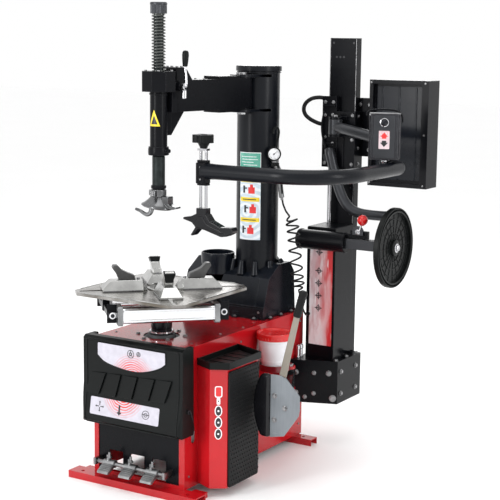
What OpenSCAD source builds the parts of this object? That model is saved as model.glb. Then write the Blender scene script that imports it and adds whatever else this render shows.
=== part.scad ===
// Tire changer machine with swing arm, pneumatic clamping turntable,
// bead breaker and right-hand helper mast.
// Frame: X to the machine's right, Y to its back, Z up. The origin is the
// centre of the four anchor holes, on the floor. Millimetres and degrees.

/* [Cabinet] */
// Half width of the steel cabinet
cab_hw = 227; // [200:1:227]
// Front plane of the cabinet
cab_front = -432; // [-440:1:-425]
// Back plane of the cabinet
cab_back = 508; // [500:1:520]
// Top of the cabinet
cab_top = 607; // [605:1:610]
// Height of the base rails
rail_h = 30; // [24:1:30]
// Anchor hole places, half spacing across
anchor_x = 265; // [255:1:275]
// Anchor hole places, half spacing from front to back
anchor_y = 462; // [455:1:465]
// Anchor hole radius
anchor_r = 8; // [6:0.5:10]

/* [Turntable] */
// Distance of the turntable axis in front of the origin
table_y = -272; // [-276:1:-268]
// Top face of the turntable plate
plate_z = 802; // [800:1:810]
// Half width across the flats of the plate
plate_hw = 270; // [255:1:275]
// Radius of the spindle
spindle_r = 42; // [38:0.5:44]
// Distance of each clamping cylinder from the turntable axis
clamp_off = 170; // [160:1:175]
// Radius of the clamping cylinder barrels
clamp_r = 40; // [34:1:40]

/* [Column and swing arm] */
// Column axis, across
col_x = 62; // [58:1:66]
// Column axis, front to back
col_y = 368; // [364:1:372]
// Column tube radius
col_r = 93; // [88:1:93]
// Top of the column cap
col_top = 1699; // [1690:1:1710]
// Distance of the arm's hinge pin in front of the column axis
pin_off = 142; // [142:1:150]
// Hinge pin radius
pin_r = 15; // [12:0.5:16]
// Tool head axis, across
head_x = -15; // [-20:1:-10]
// Radius of the vertical tool shaft
shaft_r = 20; // [18:0.5:21]

/* [Helper mast] */
// Left side of the mast rail
mast_x0 = 267; // [265:1:270]
// Right side of the mast rail
mast_x1 = 401; // [398:1:403]
// Front face of the mast rail
mast_y = 640; // [638:1:645]
// Top of the mast rail
mast_top = 1821; // [1800:1:1850]
// Press arm tube radius
press_r = 30; // [26:1:30]
// Height of the press arm's axis
press_z = 1290; // [1286:1:1292]
// Radius of the bead lifting disc
disc_r = 171; // [150:1:175]

/* [Hidden] */
$fn = 48;
fit = 0.05;          // radial clearance of a running fit
sheet = 3;           // cabinet sheet thickness
cab_len = cab_back - cab_front;
pin_y = col_y - pin_off;
arm_len = norm([head_x - col_x, table_y - pin_y]);
arm_turn = atan2(head_x - col_x, pin_y - table_y);
arm_z0 = 1520;
arm_z1 = 1647;
lug_z0 = 1503;       // lower hinge lug of the column
lug_z1 = 1651;       // upper hinge lug of the column
lug_t = 12;
gap = 0.4;           // gap between pieces of different bodies
pedal_x = [-116, -8, 100];
pedal_y = -470;
pedal_z = 92;
shaft_bar_r = 9;
cover_out = 368;     // outer face of the side cover
pad_t = 12;
tray_z = 530;
head_reach = 67;     // from the tool head's axis to the end of the arm
bead_x = 290;        // bead breaker hinge
bead_y = 278;
blade_y = -162;
bucket_x = 308;
bucket_y = 122;
bucket_z = 436;
post_x = 680;        // press arm post
post_y = 378;
hub_x = 343;         // link arm hinge on the carriage
hub_y = 560;
block_x = 163;       // press block at the free end of the press arm
block_y = -212;
rod_pitch = 26;
stick_y = -123;      // pivot of the control lever, in front of the post
box_turn = 22;       // the control box looks this far to the right of the front
rod_x = 300;
rod_y = 598;
disc_y = 432;
disc_z = 945;

// Route points of the hoses and of the bent roller arm
hose_loop_path = [
  [247, 622, 1556], [228, 612, 1558], [200, 598, 1552], [176, 588, 1532],
  [168, 584, 1506], [176, 586, 1480], [198, 594, 1460], [224, 606, 1446],
  [247, 618, 1438]
];
roller_path = [
  [308, 578, 1330], [312, 573, 1318], [318, 572, 1300], [328, 572, 1264],
  [343, 572, 1214], [362, 572, 1160], [386, 572, 1112], [416, 574, 1078],
  [452, 582, 1060], [492, 600, 1052], [530, 622, 1048], [560, 645, 1046],
  [585, 662, 1046]
];
gun_hinge = [190, 322, 1280];
gun_hook_path = [
  [180, 327, 1346], [182, 330, 1372], [186, 334, 1398], [186, 337, 1422],
  [176, 337, 1437], [164, 332, 1430], [162, 328, 1408]
];
lead_top_path = [
  [199, 354, 1118], [206, 351, 1098], [220, 348, 1074], [238, 346, 1056]
];
coil_path = [
  [238, 346, 1056], [256, 342, 1024], [267, 340, 968], [275, 340, 892],
  [286, 340, 807], [294, 340, 757], [298, 340, 726]
];
lead_end_path = [
  [298, 340, 726], [301, 351, 690], [300, 374, 645], [294, 405, 615],
  [284, 436, 602], [272, 463, 600]
];
coil_r = 30;
cord_r = 4;

// ---------- helpers ----------
function unit(v) = v / norm(v);
function tangent(p, i) =
  unit(p[min(i + 1, len(p) - 1)] - p[max(i - 1, 0)]);
function ring(c, t, r, n, ref) =
  let (a = unit(cross(t, ref)), b = cross(a, t))
  [for (k = [0:n - 1]) c + r * (cos(360 * k / n) * a + sin(360 * k / n) * b)];

// Closed round tube swept along the points of a route
module sweep(p, r, n = 12, ref = [0, 1, 0]) {
  rings = [for (i = [0:len(p) - 1]) each ring(p[i], tangent(p, i), r, n, ref)];
  last = (len(p) - 1) * n;
  sides = [for (i = [0:len(p) - 2]) for (k = [0:n - 1])
    let (a = i * n + k, b = i * n + (k + 1) % n) [a, b, b + n, a + n]];
  polyhedron(points = rings, faces = concat(
    sides,
    [[for (k = [n - 1:-1:0]) k]],
    [[for (k = [0:n - 1]) last + k]]));
}

module rrect(w, d, r) {
  square([w - 2 * r, d], center = true);
  square([w, d - 2 * r], center = true);
  for (sx = [-1, 1]) for (sy = [-1, 1])
    translate([sx * (w / 2 - r), sy * (d / 2 - r)]) circle(r);
}

module rbox(w, d, h, r) {
  linear_extrude(h) rrect(w, d, r);
}

// Round bar from point p to point q
module bar(p, q, r) {
  v = q - p;
  translate(p) rotate([0, acos(v[2] / norm(v)), atan2(v[1], v[0])])
    cylinder(h = norm(v), r = r);
}

// Profile in (y, z) extruded along x from x0 to x1
module yz(x0, x1) {
  translate([x0, 0, 0]) rotate([90, 0, 90]) linear_extrude(x1 - x0) children();
}

// Profile in (x, z) extruded along y from y0 to y1
module xz(y0, y1) {
  translate([0, y1, 0]) rotate([90, 0, 0]) linear_extrude(y1 - y0) children();
}

// ---------- base and cabinet ----------
module rail(y0, y1) {
  difference() {
    translate([-320, y0, 0]) cube([640, y1 - y0, rail_h]);
    translate([-321, y0 + 4, -1]) cube([642, y1 - y0 - 8, rail_h - 3]);
  }
}

module base_rails() {
  color("firebrick") difference() {
    union() {
      rail(-490, -418);
      rail(434, 490);
      // fork tines behind the front rail, and solid feet at the anchor holes
      for (x = [-300, 240]) translate([x, -418, 0]) cube([60, 44, rail_h - 8]);
      for (sx = [-1, 1]) for (y = [-490, 434])
        translate([sx * anchor_x - 28, y, 0]) cube([56, 56, rail_h]);
    }
    for (sx = [-1, 1]) for (sy = [-1, 1])
      translate([sx * anchor_x, sy * anchor_y, -1]) cylinder(h = 40, r = anchor_r);
  }
}

module cabinet_shell() {
  color("firebrick") difference() {
    union() {
      difference() {
        translate([-cab_hw, cab_front, rail_h])
          cube([2 * cab_hw, cab_len, cab_top - rail_h]);
        translate([-cab_hw + sheet, cab_front + 20, rail_h - 1])
          cube([2 * cab_hw - 2 * sheet, cab_len - 20 - sheet, cab_top - rail_h - sheet + 1]);
        // pedal and fascia opening in the front wall
        translate([-205, cab_front - 1, rail_h + 14]) cube([405, 22, 540]);
      }
      // hinge lugs of the bead breaker with their pin
      for (z = [296, 392]) {
        translate([cab_hw - 1, bead_y - 28, z]) cube([bead_x - cab_hw + 1, 56, 12]);
        translate([bead_x, bead_y, z]) cylinder(h = 12, r = 28);
      }
      translate([bead_x, bead_y, 288]) cylinder(h = 124, r = pin_r);
      // compressed air inlet nipple
      translate([120, cab_back - 1, 420]) rotate([-90, 0, 0]) cylinder(h = 19, r = 6.5);
    }
    translate([0, table_y, cab_top - 10]) cylinder(h = 20, r = 75);
    // slot in the right side wall for the pedal linkage rod
    yz(cab_hw - 5, cab_hw + 5) for (z = [225, 260])
      translate([-372, z]) circle(13);
    yz(cab_hw - 5, cab_hw + 5) translate([-385, 225]) square([26, 35]);
    // opening for the bead breaker cylinder's rod
    yz(cab_hw - 5, cab_hw + 5) translate([40, 300]) circle(30);
  }
}

module front_fascia() {
  // outer and inner side profiles, (y, z)
  outer = [[-432.3, 616], [-462, 616], [-474, 606], [-474, 420], [-492, 300],
           [-490, 268], [-478, 256], [-432.3, 256]];
  inner = [[-420, 608.3], [-462, 610], [-468, 600], [-468, 420], [-486, 300],
           [-484, 272], [-476, 262], [-420, 262]];
  color("#1c1c1e") difference() {
    intersection() {
      union() {
        yz(-247, 247) polygon(outer);
        for (sx = [-1, 1]) yz(sx * 237 - 10, sx * 237 + 10)
          polygon([[-440, 256], [-440, 616], [-400, 616], [-396, 262], [-400, 256]]);
      }
      translate([0, -394, 250]) rbox(494, 200, 370, 22);
    }
    yz(-227.4, 227.4) polygon(inner);
  }
}

module pedal_panel() {
  color("#111111") difference() {
    translate([-204, cab_front + 4, rail_h + 15]) cube([403, 3, 205]);
    for (x = pedal_x) translate([x - 34, cab_front, 44]) cube([68, 20, 90]);
  }
}

module pedal_shaft() {
  color("silver") {
    translate([-196, pedal_y, pedal_z]) rotate([0, 90, 0])
      cylinder(h = 366, r = shaft_bar_r);
    // the brackets that carry the shaft
    for (x = [-190, 158]) difference() {
      translate([x, pedal_y - 16, pedal_z - 14])
        cube([10, cab_front + 4 - pedal_y + 16, 28]);
      translate([x - 1, pedal_y, pedal_z]) rotate([0, 90, 0])
        cylinder(h = 12, r = shaft_bar_r);
    }
  }
}

// One cast pedal: hub on the shaft, foot plate in front, link stud above
module pedal(x) {
  color("#b8b8b4") difference() {
    union() {
      translate([x - 27, pedal_y, pedal_z]) rotate([0, 90, 0]) cylinder(h = 54, r = 16);
      yz(x - 27, x + 27) polygon([[pedal_y - 4, 98], [pedal_y - 30, 84],
        [pedal_y - 52, 70], [pedal_y - 54, 62], [pedal_y - 44, 60],
        [pedal_y - 12, 78]]);
      translate([x - 7, pedal_y - 4, pedal_z + 10]) cylinder(h = 26, r = 6);
      yz(x - 8, x + 8) polygon([[pedal_y, 76], [pedal_y + 24, 70],
        [pedal_y + 24, 84], [pedal_y, 106]]);
    }
    translate([x - 30, pedal_y, pedal_z]) rotate([0, 90, 0])
      cylinder(h = 60, r = shaft_bar_r + fit);
  }
}
module clamp_pedal() { pedal(pedal_x[0]); }
module breaker_pedal() { pedal(pedal_x[1]); }
module turn_pedal() { pedal(pedal_x[2]); }

// Worm gearbox under the top, with the bearing flange that stands above it
module gearbox() {
  color("#6a6e70") difference() {
    union() {
      translate([0, table_y, 440]) cylinder(h = 156, r = 110);
      translate([0, table_y, 592]) cylinder(h = 12, r = 130);
      translate([0, table_y, 600]) cylinder(h = 18, r = 74.5);
      translate([60, table_y - 90, 470]) cube([90, 180, 90]);
      translate([105, table_y + 80, 515]) rotate([-90, 0, 0]) cylinder(h = 60, r = 45);
    }
    translate([0, table_y, 480]) cylinder(h = 150, r = spindle_r + fit);
    translate([0, table_y, 606]) cylinder(h = 20, r = 56);
  }
}

module drive_motor() {
  color("#3c4a58") {
    translate([105, 80, 340]) rotate([90, 0, 0]) cylinder(h = 190, r = 80);
    translate([105, 79, 340]) rotate([-90, 0, 0]) cylinder(h = 14, r = 30);
    translate([165, -90, 300]) cube([cab_hw - sheet - 165, 150, 80]);
  }
}

// Double acting cylinder that drives the bead breaker arm
module breaker_cylinder() {
  color("#9aa0a4") {
    translate([-205, 40, 150]) rotate([0, 90, 0]) cylinder(h = 190, r = 93);
    translate([-15, 40, 150]) rotate([0, 90, 0]) cylinder(h = 60, r = 12);
    for (x = [-195, -45]) translate([x, -20, rail_h]) cube([12, 120, 60]);
  }
}

module side_outline() {
  polygon([[cab_hw, -342], [310, -378], [cover_out, -340], [cover_out, -112], [cab_hw, -52]]);
}

module side_cover() {
  color("firebrick") difference() {
    translate([0, 0, 40]) linear_extrude(tray_z - 40) side_outline();
    translate([0, 0, 39]) linear_extrude(tray_z - 40 - 2)
      polygon([[cab_hw - 1, -338], [309, -374], [cover_out - 4, -337],
               [cover_out - 4, -115], [cab_hw - 1, -57]]);
  }
}

module tool_tray() {
  rim = [[cab_hw, -346], [314, -386], [382, -346], [382, -108], [cab_hw, -46]];
  well = [[cab_hw + 6, -340], [313, -378], [374, -342], [374, -113], [cab_hw + 6, -54]];
  color("#161616") difference() {
    translate([0, 0, tray_z]) linear_extrude(26) polygon(rim);
    translate([0, 0, tray_z + 5]) linear_extrude(30) polygon(well);
  }
}

module wheel_pad() {
  color("#1a1a1a") translate([cover_out, -336, 42]) cube([pad_t, 222, 476]);
}

// ---------- bead breaker ----------
module breaker_arm() {
  tip = [505, -132];
  run = norm(tip - [bead_x, bead_y]);
  turn = atan2(tip[1] - bead_y, tip[0] - bead_x);
  color("#2b2b2b") difference() {
    union() {
      translate([bead_x, bead_y, 308.5]) cylinder(h = 83, r = 27);
      translate([bead_x, bead_y, 320]) rotate([0, 0, turn])
        translate([20, -22, 0]) cube([run - 20, 44, 60]);
      translate([478, blade_y + 5, 300]) cube([60, 34, 100]);
    }
    translate([bead_x, bead_y, 300]) cylinder(h = 100, r = pin_r + fit);
  }
}

module breaker_blade() {
  color("#c9cdd0") xz(blade_y - 5, blade_y + 5)
    polygon([[462, 223], [526, 237], [592, 330], [597, 356], [596, 414],
             [532, 480], [508, 489], [462, 487]]);
  color("#1b1d20") xz(blade_y - 16, blade_y + 16) intersection() {
    translate([645, 355]) circle(260, $fn = 96);
    translate([380, 223]) square([82, 264]);
  }
}

module breaker_handle() {
  neck = [576, blade_y, 738];
  tip = [606, blade_y, 842];
  color("#a39a8c") xz(blade_y - 5, blade_y + 5)
    polygon([[500, 489.4], [508.4, 489.4], [531, 480.9], [590, 736], [562, 742]]);
  color("#141414") bar(neck, tip, 17);
}

module bucket_holder() {
  color("#5a1216") difference() {
    union() {
      translate([bucket_x, bucket_y, 424]) cylinder(h = 26, r = 66);
      translate([cab_hw, bucket_y - 45, 424]) cube([70, 90, 12]);
    }
    translate([bucket_x, bucket_y, bucket_z]) cylinder(h = 20, r = 62);
  }
}

module bucket() {
  color("#e8e8e8") difference() {
    translate([bucket_x, bucket_y, bucket_z + 0.1]) cylinder(h = 139, r1 = 54, r2 = 74);
    translate([bucket_x, bucket_y, bucket_z + 3]) cylinder(h = 140, r1 = 51.5, r2 = 71.7);
  }
}

module bucket_lid() {
  color("#d21f1f") difference() {
    translate([bucket_x, bucket_y, 558]) cylinder(h = 30, r = 78);
    translate([bucket_x, bucket_y, 557]) cylinder(h = 18.2, r = 74.3);
    translate([bucket_x, bucket_y, 582]) cylinder(h = 10, r = 70);
  }
}

// ---------- turntable ----------
module spindle() {
  color("#202020") {
    translate([0, table_y, 484]) cylinder(h = plate_z - 12 - 484, r = spindle_r);
    translate([0, table_y, 640]) cylinder(h = 30, r = 60);
  }
}

module turntable_plate() {
  color("#c8c4bc") translate([0, table_y, plate_z - 12]) difference() {
    intersection() {
      translate([-plate_hw, -plate_hw, 0]) cube([2 * plate_hw, 2 * plate_hw, 12]);
      rotate([0, 0, 45]) translate([-350, -350, 0]) cube([700, 700, 12]);
    }
    for (a = [45:90:315]) rotate([0, 0, a]) translate([64, -11, -1]) cube([270, 22, 14]);
  }
}

// Clamping jaw with its chamfered slide, drawn along +X from the axis
module jaw(a) {
  color("#d6d8da") translate([0, table_y, 0]) rotate([0, 0, a]) {
    // slide: taper towards the middle, sloping long sides
    intersection() {
      translate([0, 0, plate_z + gap]) linear_extrude(44)
        polygon([[62, -30], [78, -45], [245, -45], [245, 45], [78, 45], [62, 30]]);
      yz(60, 250) polygon([[-45, plate_z + gap], [45, plate_z + gap],
        [45, plate_z + 9], [26, plate_z + 43], [-26, plate_z + 43], [-45, plate_z + 9]]);
      xz(-50, 50) polygon([[60, plate_z], [246, plate_z], [246, plate_z + 9],
        [212, plate_z + 43], [84, plate_z + 43], [60, plate_z + 14]]);
    }
    // hooked claw
    xz(-21, 21) polygon([[108, plate_z + 42], [176, plate_z + 42], [186, plate_z + 68],
      [204, plate_z + 92], [200, plate_z + 104], [180, plate_z + 104],
      [164, plate_z + 84], [140, plate_z + 74], [112, plate_z + 66]]);
    // key through the plate's slot and its shoe below
    translate([120, -10.5, plate_z - 14]) cube([110, 21, 14 + 2 * gap]);
    translate([120, -24, plate_z - 26]) cube([110, 48, 13]);
  }
}
module jaw_front() { jaw(315); }
module jaw_back() { jaw(135); }
module jaw_left() { jaw(225); jaw_yoke(225); }
module jaw_right() { jaw(45); jaw_yoke(45); }

// Cross bar under the plate that the clamping cylinders are pinned to
module jaw_yoke(a) {
  color("#202020") translate([0, table_y, 0]) rotate([0, 0, a]) {
    translate([214, -16, plate_z - 82]) cube([30, 32, 68]);
    translate([216, -clamp_off - 12, plate_z - 82]) cube([22, 2 * clamp_off + 24, 28]);
  }
}

module cylinder_barrels() {
  color("#d0d4d8") translate([0, table_y, plate_z - 68]) rotate([0, 0, 45])
    for (s = [-1, 1]) translate([0, s * clamp_off, 0]) rotate([0, 90, 0]) {
      difference() {
        union() {
          translate([0, 0, -200]) cylinder(h = 396, r = clamp_r - 3);
          for (z = [-204, 182]) translate([-clamp_r + 1, -clamp_r + 1, z])
            cube([2 * clamp_r - 2, 2 * clamp_r - 2, 18]);
        }
        translate([0, 0, -180]) cylinder(h = 400, r = 8 + fit);
      }
      translate([0, 0, -216]) cylinder(h = 12, r = 10);
    }
}

module cylinder_rods() {
  color("#eeeeee") translate([0, table_y, plate_z - 68]) rotate([0, 0, 45])
    for (s = [-1, 1]) translate([0, s * clamp_off, 0]) rotate([0, 90, 0])
      translate([0, 0, -100]) cylinder(h = 316, r = 8);
}

// ---------- column ----------
module column_box() {
  outer = [[201, cab_top], [201, 655], [208, 664], [248, 782], [334, 836],
           [427, 836], [464, 792], [479, cab_top]];
  inner = [[205, cab_top - 1], [205, 654], [212, 663], [251, 779], [335, 832],
           [425, 832], [460, 791], [475, cab_top - 1]];
  color("#17181a") difference() {
    yz(-cab_hw, 200) polygon(outer);
    yz(-cab_hw + 4, 196) polygon(inner);
    translate([col_x, col_y, 700]) cylinder(h = 200, r = col_r + 1);
    translate([-95, 292, 700]) cylinder(h = 200, r = 75.5);
  }
}

module lube_bowl() {
  color("#101114") difference() {
    translate([-95, 292, 776]) cylinder(h = 96, r = 75);
    translate([-95, 292, 782]) cylinder(h = 100, r = 70);
  }
}

module column_tube() {
  color("#141519") {
    difference() {
      union() {
        translate([col_x, col_y, cab_top]) cylinder(h = 12, r = 106);
        translate([col_x, col_y, cab_top]) cylinder(h = col_top - 23 - cab_top, r = col_r);
      }
      translate([col_x, col_y, cab_top - 1])
        cylinder(h = col_top - cab_top - 21, r = col_r - 6);
      // slots that the hinge lugs are welded into, open at the right
      for (z = [lug_z0, lug_z1]) translate([col_x + 48, col_y - col_r, z])
        cube([40, 60, lug_t]);
    }
    translate([col_x, col_y, col_top - 22]) cylinder(h = 22, r = col_r + 5);
    for (z = [lug_z0, lug_z1]) difference() {
      union() {
        translate([col_x - 50, pin_y, z]) cube([100, pin_off, lug_t]);
        translate([col_x, pin_y, z]) cylinder(h = lug_t, r = 50);
      }
      translate([col_x, pin_y, z - 1]) cylinder(h = lug_t + 2, r = pin_r + fit);
    }
    // hook that carries the inflator
    bar([col_x + col_r - 6, 354, 1262], [162.5, 351.5, 1262], 5);
  }
}

module arm_pivot_pin() {
  color("silver") translate([col_x, pin_y, 0]) {
    translate([0, 0, lug_z0 - 10]) cylinder(h = lug_z1 + lug_t + 10 - lug_z0, r = pin_r);
    translate([0, 0, lug_z1 + lug_t]) cylinder(h = 9, r = 23);
    translate([0, 0, lug_z0 - 10]) cylinder(h = 10, r = 21, $fn = 6);
  }
}

// ---------- swing arm and tool head ----------
module swing_arm() {
  len = arm_len - head_reach;
  color("#141519") difference() {
    translate([col_x, pin_y, 0]) rotate([0, 0, arm_turn]) {
      difference() {
        union() {
          translate([0, 0, lug_z0 + lug_t + gap])
            cylinder(h = lug_z1 - lug_z0 - lug_t - 2 * gap, r = 44);
          translate([-44, -len, arm_z0]) cube([88, len, arm_z1 - arm_z0]);
          // stiffening plates above and below
          for (z = [lug_z0 + 5, lug_z1 - 4.2]) translate([-44, -190, z]) cube([88, 130, lug_t]);
        }
        translate([0, 0, 1490]) cylinder(h = 190, r = pin_r + fit);
        translate([-38, -len - 1, arm_z0 + 6]) cube([76, len - 70, arm_z1 - arm_z0 - 12]);
      }
      // gusset under the tool head
      yz(-6, 6) polygon([[-len + 76, arm_z0], [-len, arm_z0], [-len, arm_z0 - 95]]);
    }
    // room for the lock lever's boss, which belongs to the tool head
    translate([0, -215, 1622]) rotate([0, 90, 0]) cylinder(h = 62, r = 18.3);
  }
}

module arm_head() {
  color("#141519") difference() {
    union() {
      translate([head_x, table_y, 1602]) rotate([0, 0, 22.5 + arm_turn])
        cylinder(h = 81, r = 72, $fn = 8);
      translate([head_x, table_y, 1348]) cylinder(h = 256, r = 35);
      translate([head_x, table_y, 1420]) rotate([0, 0, arm_turn]) {
        translate([-43, 33, 100]) cube([86, head_reach - 33, 120]);
        translate([-6, 33, 5]) cube([12, head_reach - 33, 100]);
      }
      translate([head_x, table_y, 1348]) cylinder(h = 34, r = 41);
      translate([10, -215, 1622]) rotate([0, 90, 0]) cylinder(h = 48, r = 18);
    }
    translate([head_x, table_y, 1340]) cylinder(h = 350, r = shaft_r + fit);
  }
}

module lock_lever() {
  color("#b9bcc0") {
    translate([58.5, -215, 1622]) rotate([0, 90, 0]) cylinder(h = 20, r = 15);
    translate([70, -215, 1575]) cylinder(h = 34, r = 10);
    bar([69, -215, 1634], [74, -215, 1706], 6);
  }
  color("#141414") bar([74, -215, 1704], [76, -215, 1766], 14);
}

module lift_shaft() {
  color("#34363a") translate([head_x, table_y, 0]) {
    translate([0, 0, 1210]) cylinder(h = 700, r = shaft_r);
    translate([0, 0, 1210]) cylinder(h = 136, r = 26);
    difference() {
      translate([0, 0, 1909]) cylinder(h = 45, r = 34);
      for (a = [0:20:340]) rotate([0, 0, a]) translate([35, 0, 1914])
        cylinder(h = 36, r = 3, $fn = 16);
    }
  }
}

module return_spring() {
  color("#8c8f94") translate([head_x, table_y, 1683.4]) difference() {
    cylinder(h = 225, r = 27);
    translate([0, 0, -1]) cylinder(h = 227, r = 22);
  }
}

module mount_head() {
  color("#c4c6c8") translate([head_x, table_y, 0]) {
    difference() {
      union() {
        translate([0, 0, 1180]) cylinder(h = 30, r = 36);
        translate([-14, -50, 1184]) cube([28, 30, 22]);
        translate([0, 0, 1141]) cylinder(h = 40, r1 = 58, r2 = 34);
      }
      translate([-80, -80, 1100]) rotate([0, -8, 0]) cube([200, 160, 45]);
    }
    // hooked finger that lifts the bead
    xz(-16, 16) polygon([[-30, 1160], [-62, 1142], [-88, 1128], [-92, 1114],
      [-80, 1112], [-58, 1122], [-44, 1104], [-28, 1098], [-18, 1108], [-16, 1150]]);
  }
}

// ---------- inflator ----------
module inflator_gun() {
  face = [sin(32), -cos(32), 0];
  dial = [172, 322, 1322];
  color("#1a1a1c") {
    bar(dial - face * 8, dial + face * 12, 31);
    sweep(gun_hook_path, 5, 8, face);
  }
  color("#8d9094") {
    bar(dial - face * 8 - [0, 0, 28], [182, 344, 1250], 13);
    bar([182, 344, 1250], [197, 352, 1122], 11);
    bar([182, 344, 1268], [186, 330, 1280], 4);
  }
}

module inflator_lever() {
  axis = [cos(32), sin(32), 0];
  color("#1a1a1c") {
    bar(gun_hinge, [211, 331, 1150], 4);
    bar(gun_hinge - 7 * axis, gun_hinge + 7 * axis, 4);
  }
}

module air_hose() {
  color("#141414") {
    sweep(lead_top_path, cord_r, 8);
    sweep(coil_path, coil_r, 12);
    sweep(lead_end_path, cord_r, 8, [1, 0, 0]);
  }
}

// ---------- helper mast ----------
module mast_bracket() {
  top = [[cab_hw + 1, 392], [430, 468], [430, 690], [cab_hw + 1, 690]];
  color("#15161a") {
    translate([0, 0, 386]) linear_extrude(14) polygon(top);
    translate([0, 0, 206]) linear_extrude(181) difference() {
      polygon(top);
      polygon([[cab_hw + 9, 404], [422, 475], [422, 682], [cab_hw + 9, 682]]);
    }
    translate([cab_hw, 400, 215]) cube([9, 100, 170]);
  }
}

module mast_rail() {
  color("#17181c") difference() {
    translate([mast_x0, mast_y, 400]) cube([mast_x1 - mast_x0, 40, mast_top - 400]);
    translate([mast_x0 + 8, mast_y + 8, 399])
      cube([mast_x1 - mast_x0 - 16, 24, mast_top - 404]);
  }
}

module mast_box() {
  color("#15161a") {
    difference() {
      translate([260, 475, 400]) cube([142, 164, 593]);
      translate([265, 480, 399]) cube([132, 154, 589]);
      translate([rod_x, rod_y, 900]) cylinder(h = 200, r = 10 + fit);
    }
    translate([272, 464, 600]) rotate([-90, 0, 0]) cylinder(h = 12, r = 9);
  }
}

module carriage() {
  color("#1b1c20") difference() {
    union() {
      translate([252, 606, 1250]) cube([164, 33, 250]);
      translate([252, 606, 1500]) cube([70, 33, 66]);
      for (x = [252, 401.6]) translate([x, 606, 1250]) cube([14.4, 75, 250]);
      for (z = [1391, 1467]) {
        translate([hub_x - 30, hub_y, z]) cube([60, 48, 12]);
        translate([hub_x, hub_y, z]) cylinder(h = 12, r = 30);
      }
      translate([hub_x, hub_y, 1391]) cylinder(h = 88, r = 12);
    }
  }
}

module lift_rod() {
  color("#e4e6e8") translate([rod_x, rod_y, 700]) difference() {
    cylinder(h = 550, r = 10);
    translate([-20, 8, 480]) cube([40, 10, 80]);
  }
}

module hose_loop() {
  color("#121212") sweep(hose_loop_path, 9, 10, [0.4, -1, 0]);
}

module roller_arm() {
  color("#2a2b2e") {
    sweep(roller_path, 23, 14, [0, 1, 0.02]);
    translate([300, 571, 1296]) rotate([-90, 0, 0]) cylinder(h = 35, r = 22);
  }
  color("#101010") translate([586, 664, 1006]) cylinder(h = 80, r = 34);
}

module valve_box() {
  color("#16181c") difference() {
    union() {
      translate([488, 598, 1183]) cube([280, 110, 462]);
      translate([380, 681, 1300]) cube([112, 10, 260]);
    }
    translate([504, 596, 1200]) cube([232, 30, 428]);
    translate([498, 640, 1193]) cube([260, 60, 442]);
  }
}

module link_arm() {
  p = [hub_x, hub_y, 1435];
  q = [post_x, post_y, 1402];
  color("#4a4c50") difference() {
    union() {
      translate([hub_x, hub_y, 1391 + 12 + gap]) cylinder(h = 64 - 2 * gap, r = 30);
      bar(p, q, 24);
      translate([post_x, post_y, 1321]) cylinder(h = 130, r = 25);
    }
    translate([hub_x, hub_y, 1380]) cylinder(h = 110, r = 12 + fit);
  }
  color("#c0c2c4") translate([post_x, post_y, 1258]) cylinder(h = 64, r = 16);
}

module control_box() {
  color("#5b5e64") translate([post_x, post_y, 0]) rotate([0, 0, box_turn]) {
    translate([-63, -113, 1331]) cube([126, 88, 189]);
    // bail handle over the box
    for (s = [-1, 1]) translate([s * 55, -84, 1510]) cylinder(h = 28, r = 4);
    translate([-59, -84, 1534]) rotate([0, 90, 0]) cylinder(h = 118, r = 4.5);
  }
}

module control_lever() {
  color("#141414") translate([post_x, post_y, 1484]) rotate([0, 0, box_turn]) {
    translate([-7, stick_y, 0]) rotate([0, 90, 0]) cylinder(h = 14, r = 9.5);
    bar([0, stick_y, 0], [0, stick_y - 26, 0], 5);
    translate([0, stick_y - 28, 0]) sphere(12);
  }
}

module press_arm() {
  mid_x = post_x + 58;
  color("#121316") difference() {
    union() {
      translate([block_x, block_y, press_z]) rotate([0, 90, 0])
        cylinder(h = mid_x - 250 - block_x, r = press_r);
      translate([mid_x - 250, block_y + 250, press_z]) rotate([0, 0, -90])
        rotate_extrude(angle = 90) translate([250, 0]) circle(press_r);
      translate([mid_x, block_y + 250, press_z]) rotate([-90, 0, 0])
        cylinder(h = post_y - block_y - 250, r = press_r);
      translate([post_x + 29, post_y, press_z]) rotate_extrude(angle = 180)
        translate([29, 0]) circle(28.9);
      translate([post_x, post_y, 1258]) cylinder(h = 62, r = 27);
      translate([block_x - 27, block_y - 32, 1240]) cube([54, 64, 84]);
    }
    translate([post_x, post_y, 1250]) cylinder(h = 90, r = 16 + fit);
    for (s = [-1, 1]) translate([block_x + s * rod_pitch / 2, block_y, 1200])
      cylinder(h = 200, r = 6 + fit);
  }
}

module press_rods() {
  color("#e4e6e8") {
    for (s = [-1, 1]) translate([block_x + s * rod_pitch / 2, block_y, 1141])
      cylinder(h = 239, r = 6);
    translate([block_x - 22, block_y - 12, 1372]) cube([44, 24, 8]);
  }
}

module press_foot() {
  color("#101012") translate([block_x, block_y, 0]) {
    translate([-24, -20, 1098]) cube([48, 40, 43]);
    xz(-24, 24) polygon([[-52, 1024], [-40, 1024], [-8, 1058], [20, 1052],
      [96, 1030], [148, 1048], [156, 1062], [148, 1074], [96, 1070],
      [44, 1092], [24, 1118], [-24, 1118], [-50, 1104], [-86, 1100],
      [-88, 1090], [-44, 1080], [-26, 1062]]);
  }
}

module press_knob() {
  color("#101012") translate([block_x, block_y, 1380 + gap]) {
    cylinder(h = 30, r = 16);
    translate([0, 0, 24]) linear_extrude(32) union() {
      circle(r = 33);
      for (a = [0:72:288]) rotate(a) translate([33, 0]) circle(r = 14);
    }
  }
}

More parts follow.
